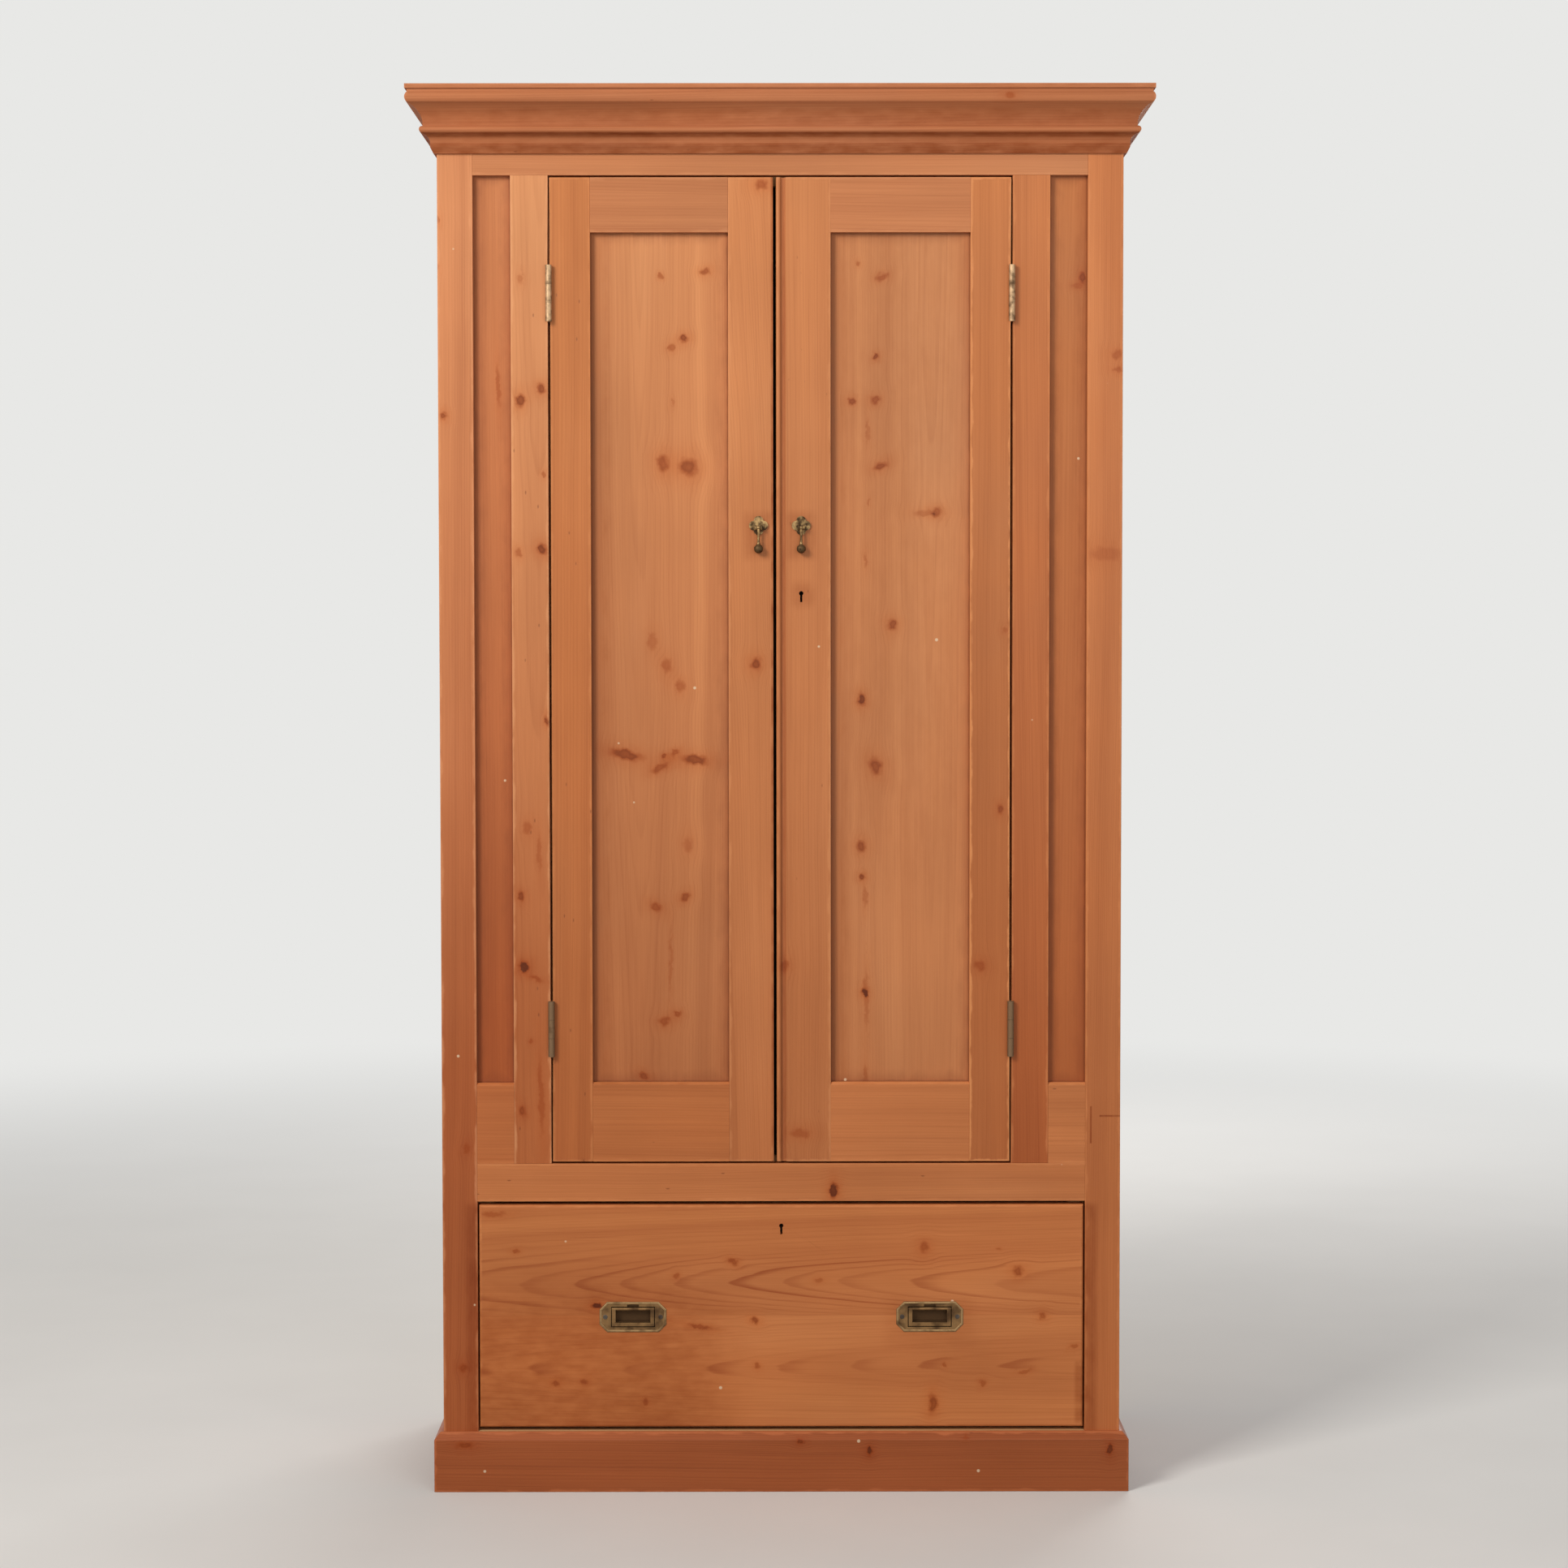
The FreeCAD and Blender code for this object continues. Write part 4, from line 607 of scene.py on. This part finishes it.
def pine(name, order, tone, box, seed, knots, look):
    """A board's own material."""
    material, g, shader = new_material("pine_" + name)
    place = g.split(g.node("TexCoord").outputs["Object"])
    across, depth, along = (place[axis] for axis in order)
    board = g.join(across, depth, along)
    low, high = ([corner[axis] for axis in order] for corner in box)
    early, late = TONES[tone]
    pith, spread, foot_shade = (*look["pith"], 0.0), look["spread"], look["foot_shade"]
    if look["foot_shade"]:
        # Painted shade: the wood is darker towards the foot, as the light falls off lower down
        foot_shade = g.node("MapRange", {0: place[UPRIGHT], 1: FOOT_SHADE_TOP, 2: 0.0, 3: 0.0, 4: foot_shade}).outputs[0]
    if look["inside"]:
        raw = g.fade(depth, *look["inside"])
        early, late = (g.mix(raw, *pair) for pair in zip(TONES[tone], TONES["bare"]))
        foot_shade = g.times(foot_shade, g.math("SUBTRACT", 1.0, raw))
    if look["boards"]:
        step = g.math("FLOOR", g.math("DIVIDE", g.math("SUBTRACT", across, low[0]), look["boards"]))
        seed = g.math("MULTIPLY_ADD", step, BOARD_SEED, seed)
    if look["next_pith"]:
        away = [after - first for first, after in zip(look["pith"], look["next_pith"])]
        pith = g.vector("ADD", g.vector("SCALE", (*away, 0.0), step), pith)
        spread = g.math("MULTIPLY_ADD", step, look["next_spread"] - spread, spread)
    inputs = {"Board": board, "Knots": knot_sum(g, board, knots), "Pith": pith,
              "Tilt": (*look["tilt"], 0.0), "Ring": look["ring"], "Spread": spread, "Seed": seed,
              "Low": (low[0], low[2], 0.0), "High": (high[0], high[2], 0.0), "Early": early,
              "Late": late, "Age": foot_shade, "Stain and shade": stain_and_shade_at(g, across, along, look["stains_and_shade"])}
    for label in ("Contrast", "Wear", "Dirt", "Specks", "Dullness"):
        inputs[label] = look[label.lower()]
    wood = g.node("Group", inputs, node_tree=PINE_GROUP).outputs
    colour = wood["Color"]
    if look["nails"]:
        colour = nailed(g, colour, across, along, low[0], look["boards"], look["nails"])
    finish_surface(g, shader, colour, wood["Roughness"], wood["Height"], WOOD_BUMP)
    shader.inputs["Specular IOR Level"].default_value = WOOD_SPECULAR
    return material


def dress(name, material):
    """Gives a node this one material."""
    slots = nodes[name].data.materials
    slots.clear()
    slots.append(material)


def drawn_heart(low, high, order, flat, draw):
    """Where the pith of a board lies, how it tilts and how wide the rings are."""
    middle = [(low[axis] + high[axis]) / 2 for axis in order]
    width = high[order[0]] - low[order[0]]
    if flat:
        pith = (middle[0] + draw.uniform(*FLAT_ASIDE) * width,
                middle[1] + draw.uniform(*FLAT_BEHIND))
        tilt = (draw.uniform(*SIDE_TILT), draw.choice((-1, 1)) * draw.uniform(*FLAT_TILT))
    else:
        pith = (middle[0] + draw.choice((-1, 1)) * (width / 2 + draw.uniform(*BESIDE)),
                middle[1] + draw.uniform(*BESIDE_BEHIND))
        tilt = (draw.uniform(*SIDE_TILT), draw.uniform(*BESIDE_TILT))
    return {"pith": pith, "tilt": tilt, "ring": draw.uniform(*RING_WIDTH)}


def scattered_knots(count, low, high, order, draw):
    """Knots at drawn places over the face of a board."""
    across, along = ((low[axis] / MM, high[axis] / MM) for axis in (order[0], order[2]))
    return [tuple(draw.uniform(*bounds) for bounds in (across, along, *SCATTERED))
            for _ in range(count)]


def board_material(name, seed):
    """The material of a board: the look of its kind, a drawn heart, and its own entries."""
    grain, tone, own = BOARDS[name]
    order = GRAIN[grain]
    look = dict(WAXED)
    for applies, changes in ((own.get("inset"), INSET), (tone == "bare", BARE),
                             (tone == "cornice", DULL), (order[2] != UPRIGHT, LYING)):
        if applies:
            look.update(changes)
    low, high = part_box(name)
    if own.get("inset"):
        seat = Vector((PANEL_SEAT, 0.0, PANEL_SEAT))
        low, high = low + seat, high - seat
    draw = random.Random(seed)
    look.update(drawn_heart(low, high, order, own.get("flat"), draw))
    look.update(own)
    knots = KNOTS.get(name) or scattered_knots(look["scatter"], low, high, order, draw)
    return pine(name, order, tone, (low, high), seed * SEED_SCALE, knots, look)


for seed, board in enumerate(BOARDS, FIRST_SEED):
    dress(board, board_material(board, seed))


# Metal

SKIN_SOFT, DEEP_SKIN, LOW_DARKNESS = 0.20, 0.9, 0.85
MOTTLE_SCALE, MOTTLE_DETAIL, MOTTLE_ROUGHNESS = 5.0, 3.0, 0.6
MOTTLE_TINT, MOTTLE_BASE, MOTTLE_GLOSS = 0.36, 0.82, 0.12
METAL_BUMP, SKIN_RISE = (0.25, 0.0002), 0.4


def metal(name, colours, roughs, scale, cover, metallic, deep=None, low=None):
    """Worn metal under patches of dull skin, which is thicker behind a face; below a height the metal
    is dark and dull.

    Colours and roughs are those of the bright metal and of the skin.
    """
    material, g, shader = new_material(name)
    place = g.node("TexCoord").outputs["Object"]
    skin = g.fade(g.noise(place, scale), cover + SKIN_SOFT, cover - SKIN_SOFT)
    if deep:
        face, fall = deep
        sunk = g.fade(g.split(place)[1], face, face + fall)
        skin = g.math("MAXIMUM", skin, g.times(sunk, DEEP_SKIN))
    if low:
        full, begun = low
        below_height = g.fade(g.split(place)[2], begun, full)
        skin = g.math("MAXIMUM", skin, g.times(below_height, LOW_DARKNESS))
    mottle = g.noise(place, scale * MOTTLE_SCALE, MOTTLE_DETAIL, MOTTLE_ROUGHNESS)
    colour = g.vector("SCALE", g.mix(skin, *colours),
                      g.math("MULTIPLY_ADD", mottle, MOTTLE_TINT, MOTTLE_BASE))
    bright_rough, dull_rough = roughs
    rough = g.math("MULTIPLY_ADD", skin, dull_rough - bright_rough,
                   g.math("MULTIPLY_ADD", mottle, MOTTLE_GLOSS, bright_rough))
    height = g.math("MULTIPLY_ADD", skin, SKIN_RISE, mottle)
    finish_surface(g, shader, colour, rough, height, METAL_BUMP)
    shader.inputs["Metallic"].default_value = metallic
    return material


HINGE_BRASS = metal("hinge_brass", (srgb(190, 158, 122), srgb(104, 78, 54)), (0.42, 0.60),
                    scale=110.0, cover=0.44, metallic=0.75, low=(0.9, 1.4))
# Each drop is dark below a given height, across its ball
PULL_BRASS = metal("pull_brass", (srgb(170, 138, 92), srgb(62, 44, 27)), (0.34, 0.56),
                   scale=140.0, cover=0.52, metallic=0.85, low=(1.296, 1.305))
PLATE_BRASS = metal("plate_brass", (srgb(136, 104, 66), srgb(72, 50, 30)), (0.42, 0.62),
                    scale=60.0, cover=0.45, metallic=0.8, deep=(-0.1957, 0.003))
RIM_BRASS = metal("rim_brass", (srgb(160, 130, 90), srgb(100, 74, 46)), (0.38, 0.58),
                  scale=80.0, cover=0.42, metallic=0.8)
IRON = metal("dark_iron", (srgb(92, 84, 76), srgb(58, 40, 30)), (0.46, 0.74),
             scale=60.0, cover=0.46, metallic=0.8)

for names, material in (
        (("hinge_frame_leaves", "left_door_hinge_leaves", "right_door_hinge_leaves"), HINGE_BRASS),
        (("left_pull_plate", "right_pull_plate", "left_pull_drop", "right_pull_drop"), PULL_BRASS),
        (("left_flush_plate", "right_flush_plate", "left_bail", "right_bail"), PLATE_BRASS),
        (("door_lock_case", "door_lock_bolt", "drawer_lock_case", "drawer_lock_bolt",
          "left_door_bolt", "left_door_bolt_plate"), IRON)):
    for part_name in names:
        dress(part_name, material)


# Softened edges

SPLIT_GAP, CORNER_GAP = 1e-6, 2e-6
SOFT_SEGMENTS, FLAT_WEIGHT = 2, 80
BOARD_ROUND, RAIL_ROUND, FITTING_ROUND = 0.8 * MM, 0.4 * MM, 0.3 * MM
BOARD_ANGLE, FITTING_ANGLE, DROP_ANGLE = (math.radians(angle) for angle in (35.0, 50.0, 50.0))


def soften(name, width, angle):
    """Welds the node's split faces and rounds its sharp edges."""
    node = nodes[name]
    weld = node.modifiers.new("weld", "WELD")
    weld.merge_threshold = SPLIT_GAP
    bevel = node.modifiers.new("soft_edges", "BEVEL")
    bevel.width = width
    bevel.segments = SOFT_SEGMENTS
    bevel.limit_method = "ANGLE"
    bevel.angle_limit = angle
    bevel.miter_outer = "MITER_ARC"
    closed = node.modifiers.new("closed_corners", "WELD")
    closed.merge_threshold = CORNER_GAP
    normals = node.modifiers.new("flat_faces", "WEIGHTED_NORMAL")
    normals.keep_sharp = False
    normals.weight = FLAT_WEIGHT


for board in BOARDS:
    soften(board, RAIL_ROUND if board.endswith("_rail") else BOARD_ROUND, BOARD_ANGLE)
for fitting in ("left_flush_plate", "right_flush_plate", "left_bail", "right_bail",
                "door_lock_case", "drawer_lock_case", "left_door_bolt_plate"):
    soften(fitting, FITTING_ROUND, FITTING_ANGLE)


# Small fittings: turned drops, screws, and the raised rims of the flush plates

def loft(shape, rings, ring_shaped=False):
    """Skins a row of equal closed loops, with end caps or joined round to the first."""
    loops = [[shape.verts.new(point) for point in ring] for ring in rings]
    pairs = list(zip(loops, loops[1:]))
    if ring_shaped:
        pairs.append((loops[-1], loops[0]))
    else:
        shape.faces.new(loops[0])
        shape.faces.new(loops[-1])
    for lower, upper in pairs:
        for near in range(len(lower)):
            far = (near + 1) % len(lower)
            shape.faces.new((lower[near], lower[far], upper[far], upper[near]))


def add_piece(name, shape, body, material, smooth=False):
    """Makes an object of the shape that rides on a body."""
    bmesh.ops.recalc_face_normals(shape, faces=shape.faces)
    for face in shape.faces:
        face.smooth = smooth
    mesh = bpy.data.meshes.new(name)
    shape.to_mesh(mesh)
    shape.free()
    mesh.materials.append(material)
    piece = bpy.data.objects.new(name, mesh)
    bpy.context.scene.collection.objects.link(piece)
    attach(piece, body)
    return piece


def spaced(start, end, steps):
    """Evenly spaced values from start to end."""
    return [start + (end - start) * step / steps for step in range(steps + 1)]


def arc(radius, start, end, steps):
    """Points of an arc between two angles."""
    return [(radius * math.cos(turn), radius * math.sin(turn)) for turn in spaced(start, end, steps)]


def circle(radius, sides):
    """Points of a full circle."""
    return arc(radius, 0.0, math.tau * (sides - 1) / sides, sides - 1)


# Turned drop, in mm: radius and depth below the pivot of its waisted neck, then a ball
NECK = [(1.2, 1.8), (2.0, 2.2), (2.05, 5.0), (1.75, 9.0), (1.6, 13.0), (1.7, 17.0), (2.1, 20.5),
        (2.4, 22.4)]
DROP_LENGTH, BALL_RADIUS, BALL_TOP, BALL_TIP = 35.0, 6.2, 2.9, 0.8
EYE_RADIUS, EYE_BORE, EYE_WIDTH, EYE_ROUND = 2.6, 1.05, 4.4, 0.5
PIVOT_DROP = 3.0
DROP_SIDES, BALL_STEPS = 32, 14


def drop_profile():
    """Radius and depth below the pivot, in mm: a neck that flares into a ball."""
    centre = DROP_LENGTH - BALL_RADIUS
    top = math.asin(BALL_TOP / BALL_RADIUS)
    tip = math.pi - math.asin(BALL_TIP / BALL_RADIUS)
    return NECK + [(BALL_RADIUS * math.sin(turn), centre - BALL_RADIUS * math.cos(turn))
                   for turn in spaced(top, tip, BALL_STEPS)]


def turned_drop(side):
    """The drop with its eye, round where the node has bands; it stands for that node."""
    node = side + "_pull_drop"
    low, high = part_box(node)
    plate_low, plate_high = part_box(side + "_pull_plate")
    x, y = (low.x + high.x) / 2, (low.y + high.y) / 2
    z = (plate_low.z + plate_high.z) / 2 - PIVOT_DROP * MM
    shape = bmesh.new()
    turns = circle(1.0, DROP_SIDES)
    loft(shape, [[(x + radius * MM * a, y + radius * MM * b, z - depth * MM) for a, b in turns]
                 for radius, depth in drop_profile()])
    half, soft = EYE_WIDTH / 2, EYE_ROUND
    section = [(-half, EYE_BORE), (-half, EYE_RADIUS - soft), (-half + soft, EYE_RADIUS),
               (half - soft, EYE_RADIUS), (half, EYE_RADIUS - soft), (half, EYE_BORE)]
    loft(shape, [[(x + aside * MM, y + radius * MM * a, z + radius * MM * b) for a, b in turns]
                 for aside, radius in section], ring_shaped=True)
    drop = add_piece(side + "_turned_drop", shape, node, PULL_BRASS, smooth=True)
    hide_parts(node)
    crisp = drop.modifiers.new("crisp_corners", "EDGE_SPLIT")
    crisp.split_angle = DROP_ANGLE


for side in ("left", "right"):
    turned_drop(side)

# Screw heads: the bed of the slot, the shoulder and the crown as shares of the radius and the rise
SCREW_SINK = 0.1 * MM
BED_RADIUS, BED_RISE, SLOT_HALF = 0.96, 0.2, 0.15
SHOULDER_RISE, CROWN_RADIUS = 0.55, 0.86
BED_SIDES, HALF_STEPS = 24, 12
# Radius and rise of a head
LEAF_SCREW, LOCK_SCREW = (3.0 * MM, 0.15 * MM), (2.6 * MM, 0.5 * MM)
BOLT_SCREW, PLATE_SCREW = (2.4 * MM, 0.5 * MM), (3.2 * MM, 0.5 * MM)
LEFTWARD, RIGHTWARD = (-1.0, 0.0, 0.0), (1.0, 0.0, 0.0)
FORWARD, BACKWARD = (0.0, -1.0, 0.0), (0.0, 1.0, 0.0)


def slotted_screw(shape, place, outward, radius, rise, turn):
    """A screw head: two halves with the slot between them, over its bed."""
    facing = Vector(outward).to_track_quat("Z", "Y").to_matrix().to_4x4()
    seat = Matrix.Translation(place) @ facing @ Matrix.Rotation(turn, 4, "Z")

    def ring(points, height):
        return [seat @ Vector((x, y, height)) for x, y in points]

    bed = circle(BED_RADIUS * radius, BED_SIDES)
    loft(shape, [ring(bed, -SCREW_SINK), ring(bed, BED_RISE * rise)])
    for start in (0.0, math.pi):
        levels = []
        for scale, height in ((1.0, -SCREW_SINK), (1.0, SHOULDER_RISE * rise), (CROWN_RADIUS, rise)):
            slot = math.asin(SLOT_HALF / scale)
            half = arc(scale * radius, start + slot, start + math.pi - slot, HALF_STEPS)
            levels.append(ring(half, height))
        loft(shape, levels)


def add_screws(name, body, size, *rows):
    """One piece of screws from rows of (places, outward); each slot is left at its own angle."""
    shape = bmesh.new()
    draw = random.Random(name)
    for places, outward in rows:
        for place in places:
            slotted_screw(shape, place, outward, *size, draw.uniform(0.0, math.pi))
    add_piece(name, shape, body, IRON)


HINGE_X, LEAF_GAP = 314.0 * MM, 0.4 * MM
FRAME_LEAF, DOOR_LEAF = HINGE_X + LEAF_GAP / 2, HINGE_X - LEAF_GAP / 2
HINGE_HEIGHTS = (638.0 * MM, 1639.0 * MM)
LEAF_SCREWS = [(-182.0 * MM, -26.0 * MM), (-188.0 * MM, 0.0), (-182.0 * MM, 26.0 * MM)]
LOCK_INSET = 6.0 * MM
BOLT_ASIDE, BOLT_RISE, BOLT_PLATE = 8.0 * MM, 13.0 * MM, 2.0 * MM


def leaf_screws(x):
    """Places of the screws in the two leaves on one plane."""
    return [(x, y, height + rise) for height in HINGE_HEIGHTS for y, rise in LEAF_SCREWS]


def lock_screws(case):
    """Places of the screws in the four corners of a lock's back."""
    low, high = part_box(case)
    return [(x, high.y, z) for x in (low.x + LOCK_INSET, high.x - LOCK_INSET)
            for z in (low.z + LOCK_INSET, high.z - LOCK_INSET)]


def bolt_screws():
    """Places of the screws in the plate of the left door's bolt."""
    low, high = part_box("left_door_bolt_plate")
    middle = (low + high) / 2
    return [(middle.x + aside, low.y + BOLT_PLATE, middle.z + rise)
            for aside in (-BOLT_ASIDE, BOLT_ASIDE) for rise in (-BOLT_RISE, BOLT_RISE)]


add_screws("frame_hinge_screws", "carcase", LEAF_SCREW,
           (leaf_screws(-FRAME_LEAF), RIGHTWARD), (leaf_screws(FRAME_LEAF), LEFTWARD))
add_screws("left_door_hinge_screws", "left_door", LEAF_SCREW, (leaf_screws(-DOOR_LEAF), LEFTWARD))
add_screws("right_door_hinge_screws", "right_door", LEAF_SCREW, (leaf_screws(DOOR_LEAF), RIGHTWARD))
add_screws("door_lock_screws", "right_door", LOCK_SCREW, (lock_screws("door_lock_case"), BACKWARD))
add_screws("drawer_lock_screws", "drawer", LOCK_SCREW, (lock_screws("drawer_lock_case"), BACKWARD))
add_screws("bolt_plate_screws", "left_door", BOLT_SCREW, (bolt_screws(), BACKWARD))

# Flush plates: cut corners, screws to both sides, and the rim's section (inset and rise, in mm)
PLATE_CLIP, PLATE_ASIDE = 10.5 * MM, 38.0 * MM
RIM = [(0.3, -0.2), (0.5, 0.35), (1.1, 0.55), (2.5, 0.55), (3.1, 0.35), (3.3, -0.2)]


def clipped_outline(width, height, clip, inset):
    """The plate's outline with its corners cut off, moved in evenly."""
    x, z = width / 2 - inset, height / 2 - inset
    clip = clip - inset * (2.0 - math.sqrt(2.0))
    return [(x, -z + clip), (x, z - clip), (x - clip, z), (-x + clip, z),
            (-x, z - clip), (-x, -z + clip), (-x + clip, -z), (x - clip, -z)]


rims = bmesh.new()
screw_places = []
for plate in ("left_flush_plate", "right_flush_plate"):
    low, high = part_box(plate)
    middle = (low + high) / 2
    loops = []
    for inset, rise in RIM:
        outline = clipped_outline(high.x - low.x, high.z - low.z, PLATE_CLIP, inset * MM)
        loops.append([(middle.x + x, low.y - rise * MM, middle.z + z) for x, z in outline])
    loft(rims, loops, ring_shaped=True)
    screw_places += [(middle.x + aside, low.y, middle.z) for aside in (-PLATE_ASIDE, PLATE_ASIDE)]
add_piece("flush_plate_rims", rims, "drawer", RIM_BRASS)
add_screws("flush_plate_screws", "drawer", PLATE_SCREW, (screw_places, FORWARD))


# Stage: pale floor, soft light and camera

BACKGROUND = srgb(232, 232, 230)
FILL_COLOUR, FILL = srgb(246, 246, 248), 0.25
FLOOR_SIZE, FLOOR_CELLS, FLOOR_FADE = 30.0, 8, (1.6, 5.0)
FLOOR_DARK, FLOOR_PALE, FLOOR_BOUNCE = srgb(226, 225, 222), srgb(234, 233, 230), srgb(150, 148, 146)
FLOOR_NOISE, FLOOR_ROUGH, FLOOR_SPECULAR = (3.0, 3.0), 0.9, 0.1

# Lamps: place, aim, width, power and colour
LAMPS = {
    "key": ((-3.0, -3.9, 3.6), (-0.1, -0.2, 1.1), 1.7, 194.0, (1.0, 0.97, 0.92)),
    "front": ((1.4, -4.2, 2.0), (0.0, -0.2, 1.0), 2.2, 40.0, (1.0, 0.98, 0.95)),
    "back": ((1.0, 3.5, 2.6), (0.0, 0.2, 1.0), 2.5, 80.0, (1.0, 0.98, 0.96)),
}
FRAME_PIXELS, FOCAL_PIXELS, SENSOR = 1932.0, 3885.0, 36.0
CAMERA_PLACE, CAMERA_TURN = (-0.0037, -4.4955, 1.1564), (87.56, 0.055, -0.109)


def seen_rays(g):
    """One for rays of the camera and of reflections, none for light that bounces."""
    rays = g.node("LightPath").outputs
    return g.math("MAXIMUM", rays["Is Camera Ray"],
                  g.math("MAXIMUM", rays["Is Glossy Ray"], rays["Is Transmission Ray"]))


def add_floor():
    """A wide pale floor that fades to the background's own tone."""
    mesh = bpy.data.meshes.new("floor")
    shape = bmesh.new()
    bmesh.ops.create_grid(shape, x_segments=FLOOR_CELLS, y_segments=FLOOR_CELLS, size=FLOOR_SIZE)
    shape.to_mesh(mesh)
    shape.free()
    floor = bpy.data.objects.new("floor", mesh)
    bpy.context.scene.collection.objects.link(floor)
    material, g, shader = new_material("pale_floor")
    place = g.node("TexCoord").outputs["Object"]
    mottled = g.mix(g.noise(place, *FLOOR_NOISE), FLOOR_DARK, FLOOR_PALE)
    g.feed(shader.inputs["Base Color"], g.mix(seen_rays(g), FLOOR_BOUNCE, mottled))
    shader.inputs["Roughness"].default_value = FLOOR_ROUGH
    shader.inputs["Specular IOR Level"].default_value = FLOOR_SPECULAR
    glow = g.node("Emission", {"Color": BACKGROUND, "Strength": 1.0})
    far = g.fade(g.vector("LENGTH", place), *FLOOR_FADE)
    blended = g.node("MixShader", {0: far, 1: shader.outputs[0], 2: glow.outputs[0]})
    g.feed(g.tree.nodes["Material Output"].inputs["Surface"], blended.outputs[0])
    mesh.materials.append(material)


def add_world():
    """Even light, seen as a pale ground by the camera and in reflections."""
    world = bpy.data.worlds.new("studio")
    bpy.context.scene.world = world
    world.use_nodes = True
    g = Graph(world.node_tree)
    fill = g.node("Background", {"Color": FILL_COLOUR, "Strength": FILL})
    plain = g.node("Background", {"Color": BACKGROUND, "Strength": 1.0})
    blended = g.node("MixShader", {0: seen_rays(g), 1: fill.outputs[0], 2: plain.outputs[0]})
    g.feed(g.tree.nodes["World Output"].inputs["Surface"], blended.outputs[0])


def add_lamp(name, place, aim, width, power, colour):
    """A soft square lamp that points at aim."""
    lamp = bpy.data.lights.new(name, "AREA")
    lamp.shape = "RECTANGLE"
    lamp.size, lamp.size_y = width, width
    lamp.energy = power
    lamp.color = colour
    holder = bpy.data.objects.new(name, lamp)
    holder.location = place
    holder.rotation_euler = (Vector(aim) - Vector(place)).to_track_quat("-Z", "Y").to_euler()
    bpy.context.scene.collection.objects.link(holder)


def add_camera():
    """The camera, whose lens follows from its focal length in pixels."""
    optics = bpy.data.cameras.new("camera")
    optics.sensor_width = SENSOR
    optics.lens = FOCAL_PIXELS / FRAME_PIXELS * SENSOR
    camera = bpy.data.objects.new("camera", optics)
    camera.location = CAMERA_PLACE
    camera.rotation_euler = Euler(tuple(math.radians(angle) for angle in CAMERA_TURN))
    bpy.context.scene.collection.objects.link(camera)
    bpy.context.scene.camera = camera


add_world()
add_floor()
for lamp_name, lamp_values in LAMPS.items():
    add_lamp(lamp_name, *lamp_values)
add_camera()
bpy.context.scene.view_settings.view_transform = "Standard"
